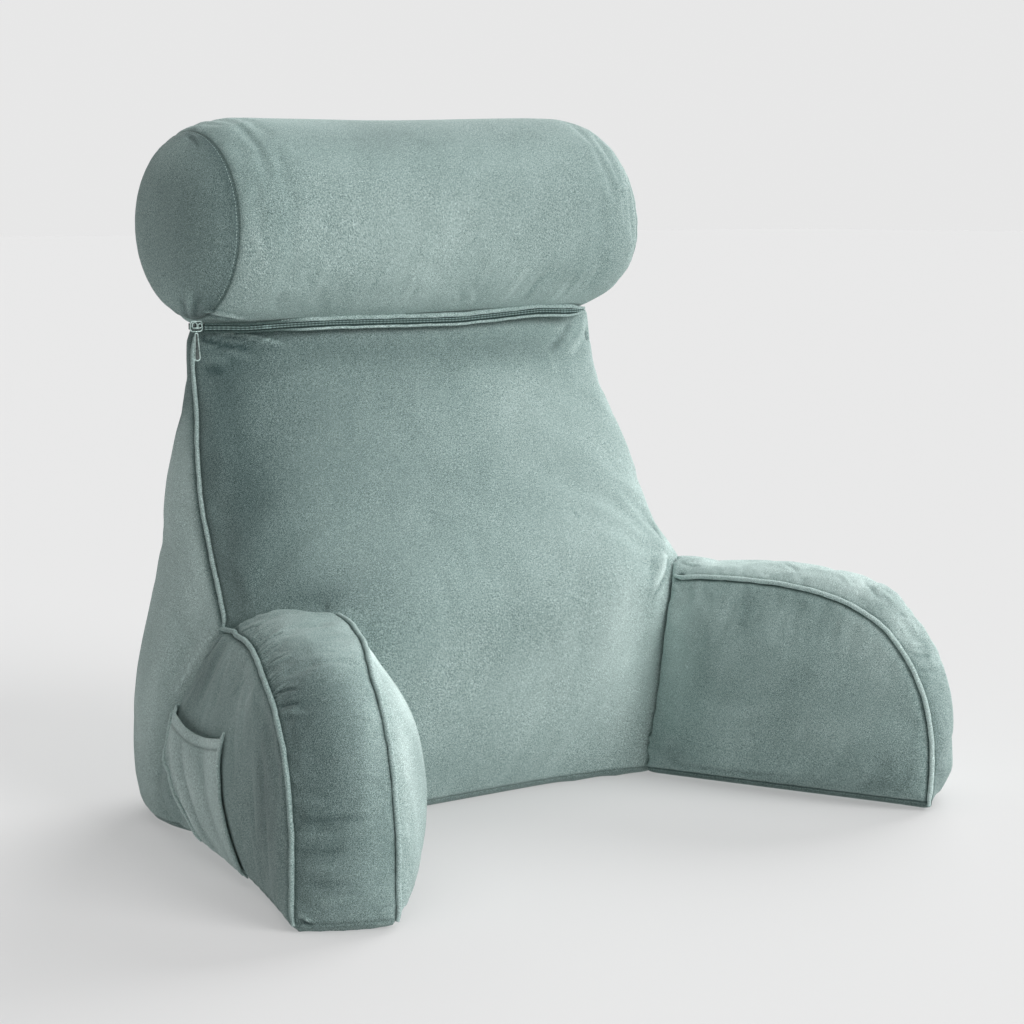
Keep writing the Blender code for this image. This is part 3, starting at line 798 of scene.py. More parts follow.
def pinchSeam(co, normals, line, look, seed):
    # a groove under the piping and small gathers beside it; also the painted shade beside it
    gap, along = nearLine(co, line)[:2]
    depth = look["seamDepth"] * (1 + 0.25 * waves(along / 0.05, seed))
    reach = look["gatherReach"] * (0.75 + 0.35 * waves(along / 0.09, seed + 1))
    gathers = look["gatherHeight"] * waves(along / look["gatherPitch"], seed + 2)
    gathers *= np.exp(-gap / np.maximum(reach, 0.002)) * smoothStep((gap - 0.002) / 0.004)
    move = gathers - depth * bell(gap, look["seamWidth"])
    shade = look["seamShade"] * bell(gap - shadeLook["off"], shadeLook["width"])
    return co + normals * move[:, None], shade


baseLook = {
    "seamWidth": 0.0022,
    "curl": 0.0034,          # how far the cloth curls in below the seam
    "curlHeight": 0.0055,
    "underShade": 0.72,      # painted shade below the seam, where the foot meets the floor: a share of the seam's painted shade
    "underHeight": 0.0072,
    "underFade": 0.0030,
    "darkest": 0.9,
}


def baseSeam(co, normals, height, depth, shade):
    # the seam round the foot, just off the floor, and the cloth that curls in under it; painted shade along
    # the seam and below it
    look = baseLook
    upright = smoothStep((0.98 - np.abs(normals[:, 2])) / 0.1)
    off = co[:, 2] - height
    move = -depth * bell(off, look["seamWidth"]) * upright
    below = look["underShade"] * shade * smoothStep((look["underHeight"] - co[:, 2]) / look["underFade"])
    dark = np.maximum(shade * bell(off * 1.7, look["seamWidth"]), below) * upright
    co = co + normals * move[:, None]
    inward = look["curl"] * np.clip(1 - co[:, 2] / look["curlHeight"], 0, 1) ** 2
    return co - normals * (1, 1, 0) * inward[:, None], np.minimum(dark, look["darkest"])


def sewSeams(piece, look, lines, seed, baseDepth, baseShade):
    co, normals = getPoints(piece), getNormals(piece)
    paintedShade = np.zeros(len(co))
    for number, line in enumerate(lines):
        co, dark = pinchSeam(co, normals, line, look, seed + 7 * number)
        paintedShade = np.maximum(paintedShade, dark)
    co, dark = baseSeam(co, normals, look["baseHeight"], baseDepth, baseShade)
    co[:, 2] = np.maximum(co[:, 2], look["lowest"])
    setPoints(piece, co)
    setSpots(piece, "paintedShade", np.maximum(paintedShade, dark))
    return co


armLook = {
    "voxel": 0.0044,
    "bending": 0.6,
    "pressure": 3.5,
    "spare": 0.02,
    "wrinkles": 0.8,
    "swelling": 0.15,
    "seamHold": (0.004, 0.004),
    "footHold": 0.008,
    "fineReach": 0.0070,
    "seamDepth": 0.0016,
    "seamWidth": 0.0034,
    "seamShade": 0.74,
    "gatherHeight": 0.0007,
    "gatherPitch": 0.028,
    "gatherReach": 0.011,
    "baseHeight": 0.0071,
    "baseDepth": {"left": 0.0003, "right": 0.0010},
    "baseShade": {"left": 0.38, "right": 0.84},
    "lowest": 0.0003,
    "fill": 0.8,
}

armFolds = {
    "left": (
        fold(1.6, -1, (228, 625), (240, 620), (258, 614), (276, 612), (300, 611)),
        fold(1.6, -1, (238, 634), (247, 629), (256, 626), (266, 623)),
        fold(1.5, -1.3, (258, 648), (266, 641), (276, 635), (290, 631), start=0.1),
        fold(1.5, -1.2, (262, 655), (271, 648), (281, 643), start=0.1),
        fold(1.5, -1.1, (268, 664), (276, 659), (284, 656), start=0.1),
        fold(1.7, 1.1, (269, 668), (282, 659), (297, 653), start=0.1),
        fold(1.8, -1.2, (272, 695), (286, 690), (301, 689), start=0.1),
        fold(2, -1.1, (279, 708), (290, 704), (302, 703), start=0.1),
        fold(2.2, 0.9, (277, 716), (292, 712), (312, 713)),
        fold(2.4, 0.6, (290, 675), (306, 670), (326, 671), tone=0.1),
        fold(1.8, -0.4, (223, 635), (213, 648), (204, 660), (194, 675), (183, 692), tone=-0.45, start=0.05,
             end=0.1),
        fold(2.2, 0.5, (260, 683), (249, 698), (240, 713), tone=0.16),
        fold(2.2, -0.5, (252, 672), (240, 686), (229, 702), tone=-0.14),
        fold(2.8, 0.7, (286, 800), (306, 803), (336, 801), tone=0.1),
        fold(3, -1, (288, 818), (312, 821), (352, 818), (384, 816), tone=-0.15),
        fold(3, 0.9, (290, 834), (318, 837), (356, 833), tone=0.12),
        fold(2.8, -0.9, (292, 850), (320, 853), (350, 850), tone=-0.14),
        fold(2.8, 0.8, (296, 866), (318, 869), (344, 866), tone=0.1),
        fold(3, -0.8, (298, 881), (326, 885), (356, 881), tone=-0.12),
        fold(2.8, 0.8, (304, 898), (328, 902), (362, 898), tone=0.1),
        fold(1.6, 1.4, (295, 912), (303, 917), (312, 924), tone=0.35),
        fold(1.5, -1.3, (298, 918), (306, 923), (315, 927), tone=-0.35),
        fold(1.5, -0.8, (376, 910), (386, 906), (395, 903)),
        fold(1.4, 0.6, (372, 925), (388, 924), (401, 921)),
        fold(2.4, 0.8, (352, 625), (372, 645), (390, 672), (404, 700), tone=0.12),
        fold(2.2, -0.7, (352, 634), (370, 656), (384, 682), (396, 708), tone=-0.1),
        fold(3, 0.6, (384, 800), (394, 838), (399, 872), tone=0.08),
    ),
    "right": (
        fold(1.6, -0.5, (682, 560), (677, 576), (672, 594), (668, 610), (663, 640), tone=-0.12, start=0.1),
        fold(1.6, -0.8, (678, 561), (692, 566), (704, 566)),
        fold(2.4, -0.8, (780, 562), (792, 567), (800, 575)),
        fold(2.4, 0.8, (836, 572), (846, 579), (852, 588)),
        fold(2.4, -1.1, (862, 580), (872, 589), (880, 600)),
        fold(2.2, 0.8, (878, 588), (889, 597), (896, 608)),
        fold(2.2, -1.1, (898, 612), (908, 618), (919, 620)),
        fold(2.2, 0.9, (905, 640), (914, 644), (925, 645)),
        fold(2, -1.1, (908, 652), (918, 656), (932, 656)),
        fold(2.2, -0.9, (914, 668), (925, 671), (939, 670)),
        fold(5, -0.6, (752, 590), (745, 612), (742, 640), tone=-0.14),
        fold(6, 0.6, (690, 700), (740, 712), (800, 700), tone=0.08),
        fold(3, -0.6, (660, 762), (700, 768), (750, 773), (800, 776)),
    ),
}

# fine gathers where the left arm's outer seam turns over at the back
gatherLook = {
    "from": (236, 638),      # pixels of the photograph, on the seam
    "to": (274, 722),
    "fineReach": 0.024,
    "fineRoom": 0.004,
    "pitch": 0.0052,
    "height": 0.0012,
    "reach": 0.0130,
    # tone: painted highlight on the pleats' ridges and painted shade in their dips
    "tone": 0.30,
}

# patches of painted light and shade, with some brushed pile, on the arms
armPatches = {
    "left": {
        "band": ((322, 800, 60, 130, -0.44), (296, 700, 30, 60, -0.26), (292, 628, 34, 16, 0.22),
                 (352, 640, 20, 30, 0.22), (372, 720, 9, 60, 0.16), (330, 905, 30, 12, 0.14),
                 (330, 905, 50, 20, -0.16), (372, 805, 14, 26, 0.12)),
        "inner": ((376, 648, 24, 44, 0.42), (405, 770, 18, 120, 0.38), (388, 668, 12, 40, 0.25, -22),
                  (364, 642, 15, 24, 0.42, -30), (378, 652, 8, 34, 0.45, -38),
                  (404, 694, 7, 36, 0.35, -20)),
        "outer": ((262, 790, 16, 90, -0.22), (240, 655, 24, 18, 0.18), (245, 700, 12, 36, 0.16, 25),
                  (207, 668, 11, 44, -0.32, 30), (270, 820, 12, 90, -0.16)),
    },
    "right": {
        "inner": ((676, 625, 22, 60, 0.55), (720, 605, 60, 26, 0.2), (868, 640, 26, 60, 0.28, -24),
                  (800, 730, 90, 22, 0.14), (750, 615, 12, 40, -0.12), (745, 786, 150, 10, -0.24),
                  (722, 650, 20, 30, 0.16), (890, 770, 30, 40, -0.14), (668, 752, 24, 22, -0.2),
                  (760, 600, 70, 10, -0.1)),
        "band": ((930, 730, 16, 50, -0.16), (745, 566, 90, 20, 0.62), (845, 580, 50, 26, 0.6),
                 (908, 625, 34, 42, 0.4), (936, 775, 18, 40, -0.22)),
    },
}


def armAcross(side, co):
    # how far out across the arm a point lies, from the pillow's middle
    out = co[:, 0] if side == "right" else -co[:, 0]
    return out * cos(armLean["turn"]) + (co[:, 1] - armLean["middle"]) * sin(armLean["turn"])


def pleatPlaces(line):
    # how far along the seam the gathers begin and end
    tree = nodeTree("arm_left")
    ends = np.array([seenAt(tree, *gatherLook[key]) for key in ("from", "to")])
    places = nearLine(ends, line)[1]
    return places.min(), places.max()


def refinePleats(piece, line):
    low, high = pleatPlaces(line)
    gap, along = nearLine(getPoints(piece), line)[:2]
    room = gatherLook["fineRoom"]
    refineWhere(piece, (gap < gatherLook["fineReach"]) & (along > low - room) & (along < high + room))


def gatherPleats(piece, line):
    look = gatherLook
    low, high = pleatPlaces(line)
    co, normals = getPoints(piece), getNormals(piece)
    gap, along, foot = nearLine(co, line)
    share = (along - low) / (high - low)
    strength = smoothStep(share / 0.15) * smoothStep((1 - share) / 0.25)
    reach = look["reach"] * (0.8 + 0.5 * waves(along / 0.019, 73))
    strength *= np.exp(-(gap / np.maximum(reach, 0.004)) ** 1.5) * smoothStep((gap - 0.0015) / 0.003)
    strength *= smoothStep((armAcross("left", foot) - armAcross("left", co)) / 0.002)
    ridge = np.sin(2 * pi * (along + 0.0016 * waves(along / 0.017, 71) + 0.05 * gap) / look["pitch"])
    setPoints(piece, co + normals * (look["height"] * strength * ridge)[:, None])
    return look["tone"] * strength * ridge


def makeArm(side):
    look = armLook
    word = "arm" + side.capitalize()
    sewn = [seams[kind, side] for kind in ("inner", "outer")]
    piece, lines = padSewnPiece(word, "arm_" + side, look, word, sewn, ("back_cushion",))
    if side == "left":
        refinePleats(piece, lines[1])
    tone = pressFolds(piece, armFolds[side])
    if side == "left":
        tone = tone + gatherPleats(piece, lines[1])
    co = sewSeams(piece, look, lines, 40, look["baseDepth"][side], look["baseShade"][side])
    beyond = [armAcross(side, co) - armAcross(side, nearLine(co, line)[2]) for line in lines]
    onBand, onOuter = [smoothStep((gap + 0.001) / 0.003) for gap in beyond]
    areas = {"inner": 1 - onBand, "band": onBand * (1 - onOuter), "outer": onOuter}
    paintNapAndLight(piece, armPatches[side], tone, areas)
    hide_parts("arm_" + side)
    return piece


arms = {side: makeArm(side) for side in ("left", "right")}
print("arms made")


backLook = {
    "voxel": 0.0071,
    "bending": 0.8,
    "pressure": 3.0,
    "spare": 0.015,
    "wrinkles": 0.7,
    "swelling": 0.12,
    "seamHold": (0.005, 0.005),
    "footHold": 0.010,
    "fineReach": 0.0085,
    "seamDepth": 0.0016,
    "seamWidth": 0.0038,
    "seamShade": 0.50,
    "gatherHeight": 0.0007,
    "gatherPitch": 0.045,
    "gatherReach": 0.014,
    "baseHeight": 0.0066,
    "baseDepth": 0.0008,
    "baseShade": 0.66,
    "lowest": 0.0,
    "fill": 0.8,
}

backFolds = (
    fold(1.3, 1, (215, 632), (204, 646), (194, 660), (184, 677), (176, 694), tone=0.4, start=0.05, end=0.1),
    fold(1.8, 2.2, (214, 334), (232, 334), (248, 336), (262, 339), (278, 343), (292, 348), tone=0.62,
         start=0.15),
    fold(2.1, -2.6, (201, 339), (213, 342), (229, 346), (255, 349), tone=-0.85, start=0.05, end=0.6),
    fold(3.4, 1, (222, 352), (240, 355), (258, 361), tone=0.16),
    fold(3.6, 0.8, (202, 360), (216, 359), (232, 362), tone=0.14),
    fold(4, -0.8, (203, 372), (216, 370), (226, 374), tone=-0.14),
    fold(3.4, 1.8, (586, 315), (583, 325), (580, 337), (572, 349), (562, 360), tone=0.3),
    fold(3.4, -1.6, (574, 314), (568, 327), (560, 340), (546, 354), tone=-0.3),
    fold(2.4, -2.4, (586, 330), (588, 342), (592, 354), tone=-0.5),
    fold(2.4, 0.8, (548, 350), (551, 360), (556, 376)),
    fold(5, 0.6, (430, 330), (440, 342), (446, 356), tone=0.1),
    fold(1.4, -0.6, (568, 506), (576, 514), (583, 520), tone=-0.3),
    fold(1.8, -1.6, (646, 518), (657, 532), (667, 547), tone=-0.45),
    fold(3, 2, (664, 552), (664, 568), (658, 582), (652, 596), tone=0.55, start=0.1),
    fold(2.2, -1.8, (669, 558), (665, 576), (657, 592), (649, 610), tone=-0.5, start=0.1),
    fold(4, -1, (655, 552), (651, 574), (644, 600), tone=-0.16),
)

# patches of painted light and shade, with some brushed pile, on the back cushion
backPatches = {
    "side": ((180, 440, 24, 60, 0.08), (172, 540, 42, 130, 0.68), (150, 700, 36, 90, 0.34),
             (150, 795, 26, 20, 0.15), (212, 600, 16, 26, 0.1), (172, 550, 18, 100, -0.2),
             (145, 730, 16, 60, 0.26), (192, 662, 7, 44, 0.26, 30), (170, 640, 12, 70, -0.12)),
    "front": ((225, 460, 62, 170, -0.34), (600, 560, 70, 170, 0.2), (225, 352, 46, 34, -0.22),
              (340, 345, 110, 22, -0.22), (320, 400, 40, 36, -0.1), (245, 520, 60, 130, -0.2),
              (320, 590, 60, 34, -0.18), (520, 405, 60, 60, 0.16), (560, 500, 30, 30, -0.08),
              (540, 690, 130, 75, 0.26), (630, 640, 24, 90, 0.45), (657, 640, 7, 110, 0.55, 6.7),
              (320, 450, 130, 140, -0.19), (225, 395, 26, 34, -0.12), (500, 350, 90, 20, -0.15),
              (262, 425, 26, 40, 0.06), (222, 500, 14, 40, 0.12), (520, 350, 40, 16, -0.1),
              (622, 555, 16, 26, -0.16), (320, 600, 36, 16, -0.18), (400, 380, 50, 30, -0.08),
              (380, 620, 50, 50, -0.1)),
}


def makeBack():
    look = backLook
    sewn = [seams["back", side] for side in ("left", "right")]
    neighbours = ("arm_left", "arm_right", "neck_roll", "zip_tape")
    piece, lines = padSewnPiece("backCushion", "back_cushion", look, "back", sewn, neighbours)
    tone = pressFolds(piece, backFolds)
    co = sewSeams(piece, look, lines, 80, look["baseDepth"], look["baseShade"])
    foot = nearLine(co, lines[0])[2]
    onSide = smoothStep((foot[:, 0] - co[:, 0] + 0.05 * (co[:, 1] - foot[:, 1]) + 0.001) / 0.004)
    paintNapAndLight(piece, backPatches, tone, {"side": onSide, "front": 1 - onSide})
    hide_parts("back_cushion")
    return piece


backCushion = makeBack()
print("back made")


rollLook = {
    "voxel": 0.0048,
    "bending": 0.8,
    "pressure": 3.0,
    "spare": 0.015,
    "wrinkles": 0.7,
    "swelling": 0.1,
    "axis": (0.1527, 0.493),   # its middle line, y and z
    "radius": 0.079,           # of the ring of stitches
    "rightBulge": 0.004,       # the right end is stuffed a little fuller
    "capShade": -0.66,         # painted shade: the flat end is darker next to its seam
    "seamFromEnd": (0.0345, 0.0235),     # the ring seams, from the left and right ends
    "seamHold": (0.003, 0.006),
    "seamDepth": 0.0014,
    "seamWidth": 0.0026,
    "seamShade": 0.72,
    "fineReach": 0.006,
    "tuckHeight": 0.0005,
    "tuckReach": 0.010,
    "stitchPitch": 0.0030,
    "stitchOff": 0.0016,       # from the seam, towards the end
    "stitchSize": (0.0010, 0.00032, 0.00032),
    "fill": 0.85,
}

rollFolds = (
    fold(1.8, 1.6, (203, 311), (216, 313), (232, 316), (248, 319), tone=0.5, start=0.08),
    fold(1.8, -1.4, (206, 316), (222, 318), (238, 321), tone=-0.55, start=0.1),
    fold(2.6, -0.9, (461, 288), (462, 298), (458, 307)),
    fold(2.4, 0.8, (471, 288), (472, 298), (470, 306)),
    fold(3.6, 0.9, (530, 264), (516, 284), (498, 304)),
    fold(3.4, -0.8, (548, 270), (532, 290), (518, 304)),
    fold(3, 0.8, (566, 282), (556, 296), (548, 304)),
    fold(3.6, 0.6, (252, 228), (258, 244), (262, 260)),
    fold(3.4, -0.7, (384, 262), (376, 282), (366, 302), tone=-0.12),
    fold(3.6, 0.7, (424, 256), (414, 280), (404, 304), tone=0.12),
    fold(3.6, 0.6, (500, 238), (488, 268), (474, 298), tone=0.1),
    fold(3.4, -0.8, (582, 262), (572, 284), (560, 300), tone=-0.12),
    fold(3.2, 0.8, (598, 256), (590, 276), (578, 294), tone=0.12),
    fold(4, 0.5, (330, 250), (322, 276), (314, 300), tone=0.1),
    fold(3, -1, (190, 322), (184, 306), (176, 292)),
    fold(3, -0.9, (192, 320), (196, 304), (203, 288)),
    fold(3, 0.8, (190, 318), (189, 300), (188, 284)),
    fold(1.8, -0.7, (186, 134), (194, 141), (200, 150)),
)

# patches of painted light and shade, with some brushed pile, on the roll
rollPatches = {
    "all": ((178, 225, 44, 100, -0.16), (165, 290, 34, 30, -0.1), (440, 285, 150, 30, 0.16),
            (440, 232, 190, 52, 0.22), (260, 290, 60, 40, 0.22), (400, 132, 170, 18, -0.14),
            (282, 215, 20, 32, -0.12), (600, 215, 24, 60, -0.06), (475, 290, 16, 18, -0.1),
            (340, 165, 26, 20, 0.1), (168, 148, 26, 26, 0.3), (165, 300, 24, 26, 0.16),
            (470, 262, 60, 40, 0.08), (440, 302, 150, 12, 0.15), (568, 298, 26, 14, 0.22),
            (375, 142, 34, 20, -0.12)),
}


def rollSeams():
    low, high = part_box("neck_roll")
    return low[0] + rollLook["seamFromEnd"][0], high[0] - rollLook["seamFromEnd"][1]


def rollGap(co):
    left, right = rollSeams()
    return np.minimum(np.abs(co[:, 0] - left), np.abs(co[:, 0] - right))


def rollBulge(x):
    return rollLook["rightBulge"] * smoothStep((x - 0.13) / 0.09)


def makeRoll():
    look = rollLook
    piece = padPiece("neckRoll", "neck_roll", look, "roll", rollGap, ("back_cushion", "zip_tape"))
    refineWhere(piece, rollGap(getPoints(piece)) < look["fineReach"], 2)
    co = getPoints(piece)
    gap = rollGap(co)
    beyond = rollSeams()[0] - co[:, 0]
    co[:, 0] += rollBulge(co[:, 0])
    setPoints(piece, settle(co))
    tone = pressFolds(piece, rollFolds)
    co, normals = getPoints(piece), getNormals(piece)
    around = np.arctan2(co[:, 2] - look["axis"][1], co[:, 1] - look["axis"][0]) / (2 * pi)
    tucks = look["tuckHeight"] * waves(around * 21, 55) * np.exp(-gap / look["tuckReach"])
    tucks *= smoothStep((gap - 0.001) / 0.003)
    move = tucks - look["seamDepth"] * bell(gap, look["seamWidth"])
    setPoints(piece, co + normals * move[:, None])
    # painted shade along the ring seams
    setSpots(piece, "paintedShade", look["seamShade"] * bell(gap, 0.0012))
    cap = smoothStep((beyond + 0.001) / 0.003) * np.exp(-np.maximum(beyond, 0) / 0.018)
    paintNapAndLight(piece, rollPatches, tone + look["capShade"] * cap, {"all": 1.0})
    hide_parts("neck_roll")
    return piece


neckRoll = makeRoll()
print("roll made")


def addStitches(name, places, size, napAndPaintedLight):
    # one long bead per stitch: places are (middle, direction, outward)
    bm = bmesh.new()
    for middle, along, out in places:
        along = Vector(along).normalized()
        out = (Vector(out) - along * Vector(out).dot(along)).normalized()
        turn = Matrix((along, out.cross(along), out)).transposed().to_4x4()
        place = Matrix.Translation(Vector(middle)) @ turn @ Matrix.Diagonal((*size, 1))
        bmesh.ops.create_uvsphere(bm, u_segments=8, v_segments=5, radius=1.0, matrix=place)
    mesh = meshFrom(name, bm)
    mesh.shade_smooth()
    setSpots(addPiece(name, mesh, velvets["trim"]), "napAndPaintedLight", napAndPaintedLight)


def makeRollStitches():
    look = rollLook
    tree = treeFrom(neckRoll.data)
    left, right = rollSeams()
    count = int(2 * pi * look["radius"] / look["stitchPitch"])
    places = []
    for x in (left - look["stitchOff"], right + look["stitchOff"]):
        middle = Vector((x + float(rollBulge(x)), *look["axis"]))
        for k in range(count):
            turn = 2 * pi * k / count
            out = Vector((0, cos(turn), sin(turn)))
            ring = np.array([middle + out * look["radius"]])
            start = middle + out * 0.13 + Vector((settle(ring) - ring)[0])
            hit, normal = tree.ray_cast(start, -out)[:2]
            if hit is not None and out.z > -0.80:
                places.append((hit + normal * 0.0001, Vector((1, 0, 0)).cross(out), normal))
    addStitches("rollStitches", places, look["stitchSize"], 0.25)


makeRollStitches()


# ---- pipings ----
pipingLook = {
    "radius": 0.0021,
    "out": {"back": 0.0008, "outer": 0.0010, "inner": 0.0019},
    "wobble": 0.00022,
    "spacing": 0.0022,
    "taper": 0.010,
    "lowest": 0.004,         # of its middle line, above the floor
    "floorGap": 0.0006,      # of its lowest point
    # the pipings are lightened: a painted highlight on their cords
    "napAndPaintedLight": {"back": 0.18, "outer": 0.10, "inner": 0.18, "innerright": 0.60},
    # pixels of the photograph where a piping runs on past its seam's end, to meet its neighbour
    "runOn": {"backleft": (223.5, 627), "outerleft": (221, 629), "innerright": (675, 576)},
}


def sweepTube(name, line, radius, sides=3, closed=False, widths=None):
    curve = bpy.data.curves.new(name, "CURVE")
    curve.dimensions = "3D"
    curve.bevel_depth = radius
    curve.bevel_resolution = sides
    curve.use_fill_caps = not closed
    spline = curve.splines.new("POLY")
    spline.points.add(len(line) - 1)
    for k, (spot, point) in enumerate(zip(spline.points, line)):
        spot.co = (*point, 1)
        spot.radius = 1.0 if widths is None else float(widths[k])
    spline.use_cyclic_u = closed
    spline.use_smooth = True
    holder = bpy.data.objects.new(name + "Curve", curve)
    scene.collection.objects.link(holder)
    mesh = evaluatedMesh(holder)
    bpy.data.objects.remove(holder)
    mesh.shade_smooth()
    return mesh


def seatedLine(tree, line, out):
    # the line moved onto a piece's surface, then a little out from it
    seated = []
    for point in line[line[:, 2] > pipingLook["lowest"]]:
        spot, normal = tree.find_nearest(Vector(point))[:2]
        seated.append(spot + normal * out)
    return evenLine(np.array(seated), 3)


def makePiping(name, node, seed, piece, kind, side):
    look = pipingLook
    key = kind + side
    spacing = look["spacing"]
    line = resampleLine(settle(seams[kind, side]), spacing)
    line = seatedLine(treeFrom(piece.data), line, look["out"][kind])
    if key in look["runOn"]:
        over = arms["right"] if side == "right" else backCushion
        spot = seenAt(treeFrom(over.data), *look["runOn"][key])
        line = np.vstack((spot, line[1:]) if kind == "back" else (line[:-4], spot))
        line = evenLine(resampleLine(line, spacing), 3)
    line = resampleLine(line, spacing)
    reach = np.arange(len(line)) * spacing
    wobble = np.stack([waves(reach / 0.060, seed + k) for k in range(3)], axis=1) * look["wobble"]
    ease = smoothStep(np.minimum(reach, reach[-1] - reach) / look["taper"])
    widths = (0.65 + 0.35 * ease) * (1 + 0.07 * waves(reach / 0.022, seed + 5))
    mesh = sweepTube(name, line + wobble * ease[:, None], look["radius"], widths=widths)
    piping = addPiece(name, mesh, velvets["trim"])
    co = getPoints(piping)
    co[:, 2] = np.maximum(co[:, 2], look["floorGap"])
    setPoints(piping, co)
    setSpots(piping, "napAndPaintedLight", look["napAndPaintedLight"].get(key, look["napAndPaintedLight"][kind]))
    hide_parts(node)


for number, side in enumerate(("left", "right")):
    word = side.capitalize()
    makePiping("pipingBack" + word, "piping_back_" + side, 10 + number, backCushion, "back", side)
    for seed, kind in ((20, "inner"), (30, "outer")):
        makePiping("piping" + kind.capitalize() + word, "piping_arm_" + kind + "_" + side, seed + number,
                   arms[side], kind, side)
print("pipings made")


# ---- pocket ----
pocketLook = {
    # its sewn edges from foot to mouth: metres along the arm and up
    "rearEdge": ((0.1060, 0.0095), (0.0970, 0.0270), (0.0810, 0.0420), (0.0660, 0.0560), (0.0530, 0.0680),
                 (0.0400, 0.0870), (0.0350, 0.1090)),
    "frontEdge": ((0.2030, 0.0070), (0.1930, 0.0180), (0.1840, 0.0330), (0.1775, 0.0513), (0.1725, 0.0802),
                  (0.1705, 0.1000), (0.1730, 0.1085)),
    "columns": 80,
    "rows": 56,
    "sag": 0.0070,
    "clear": 0.0013,
    "lift": 0.0040,
    "cloth": 0.0016,
    "hem": 0.0022,
    "hemShare": 0.085,
    "napAndPaintedLight": 0.32,
    "frontNap": 0.22,        # more at its front
    "hemNap": 0.15,
    "foldPaintedLight": 140,          # per metre of a fold's height: a painted highlight on its ridge, painted shade in its dip
    "edgeWobble": 0.0005,
    "hemGroove": 0.0006,
    "seamRadius": 0.0016,
    "seamOut": 0.0036,
    # the seam allowance's ridge is lighter: a painted highlight
    "seamNap": 0.60,
    "seamStep": 0.002,
    "seamWobble": 0.0003,
    "seamTaper": 0.006,
    "frontTip": (0.0025, 0.0060, 0),     # how far the front seam runs on over the mouth
    "folds": (          # where across, lean, width, height: shares of the pocket, then metres
        (0.22, 0.10, 0.050, 0.0016),
        (0.38, 0.05, 0.040, -0.0016),
        (0.56, -0.10, 0.060, 0.0015),
        (0.74, -0.12, 0.045, -0.0014),
        (0.88, -0.05, 0.040, 0.0010),
    ),
}


def armSpot(along, across, z):
    turn = armLean["turn"]
    return Vector((-(along * sin(turn) + across * cos(turn)),
                   -along * cos(turn) + across * sin(turn) + armLean["middle"], z))


def pocketEdge(name):
    return resampleLine(roundedLine([(*spot, 0) for spot in pocketLook[name]], 0.003), 0.0005)


def pocketSpot(u, v, rear, front):
    one = Vector(rear[int(round(v * (len(rear) - 1)))])
    other = Vector(front[int(round(v * (len(front) - 1)))])
    return one.lerp(other, u) - Vector((0, pocketLook["sag"] * sin(pi * u**1.3) * v**2, 0))


def pocketGround(tree, spot):
    # the arm's outer face under one spot of the pocket
    start, end = armSpot(spot[0], 0.45, spot[1]), armSpot(spot[0], 0.0, spot[1])
    return tree.ray_cast(start, (end - start).normalized())[0] or armSpot(spot[0], 0.24, spot[1])


def addGrid(name, columns, rows, material):
    bm = bmesh.new()
    bmesh.ops.create_grid(bm, x_segments=columns, y_segments=rows, size=0.5)
    piece = addPiece(name, meshFrom(name, bm), material)
    return piece, getPoints(piece) + 0.5


def facesTowards(piece, away):
    if sum((p.normal for p in piece.data.polygons), Vector()).dot(Vector(away)) < 0:
        piece.data.flip_normals()


def makePocket(tree, away):
    look = pocketLook
    piece, flat = addGrid("pocketCloth", look["columns"], look["rows"], velvets["pocket"])
    rear, front = pocketEdge("rearEdge"), pocketEdge("frontEdge")
    ground = np.array([pocketGround(tree, pocketSpot(u, v, rear, front)) for u, v, _ in flat])
    u, v = flat[:, 0], flat[:, 1]
    hemLine = 1 - look["hemShare"]
    lift = look["clear"] + look["lift"] * np.sin(pi * u) ** 0.7 * (0.10 + 0.90 * v**1.4)
    napAndPaintedLight = look["napAndPaintedLight"] + look["frontNap"] * smoothStep((u - 0.6) / 0.3)
    napAndPaintedLight += look["hemNap"] * smoothStep((v - hemLine) / 0.02)
    for across, lean, width, height in look["folds"]:
        off = (u - across - lean * (v - 0.5)) / width
        rise = height * np.exp(-0.5 * off**2) * np.sin(pi * np.clip(v, 0, 1)) ** 0.5 * (v < hemLine)
        lift = lift + rise
        napAndPaintedLight += look["foldPaintedLight"] * rise
    edge = np.minimum(np.minimum(u, 1 - u) * 0.15, v * 0.095)      # metres from a sewn edge
    wobble = waves((u * 0.15 + v * 0.09) / 0.020, 91) * np.exp(-edge / 0.008) * (edge > 1e-4)
    lift = lift + look["edgeWobble"] * wobble - look["hemGroove"] * bell(v - hemLine, 0.016)
    setPoints(piece, ground + away * lift[:, None])
    facesTowards(piece, away)
    # painted shade along the hem's fold line and the sewn edges
    setSpots(piece, "paintedShade", 0.5 * bell((v - hemLine) * 1.4, 0.016) + 0.35 * np.exp(-edge / 0.002))
    setSpots(piece, "napAndPaintedLight", napAndPaintedLight)
    hem = piece.vertex_groups.new(name="hem")
    hem.add([int(k) for k in np.nonzero(v > hemLine + 0.01)[0]], 1.0, "REPLACE")
    shapeWith(piece, "SOLIDIFY", thickness=look["hem"], offset=1.0, vertex_group="hem",
              thickness_vertex_group=look["cloth"] / look["hem"])
    subdivide(piece)
    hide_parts("pocket")


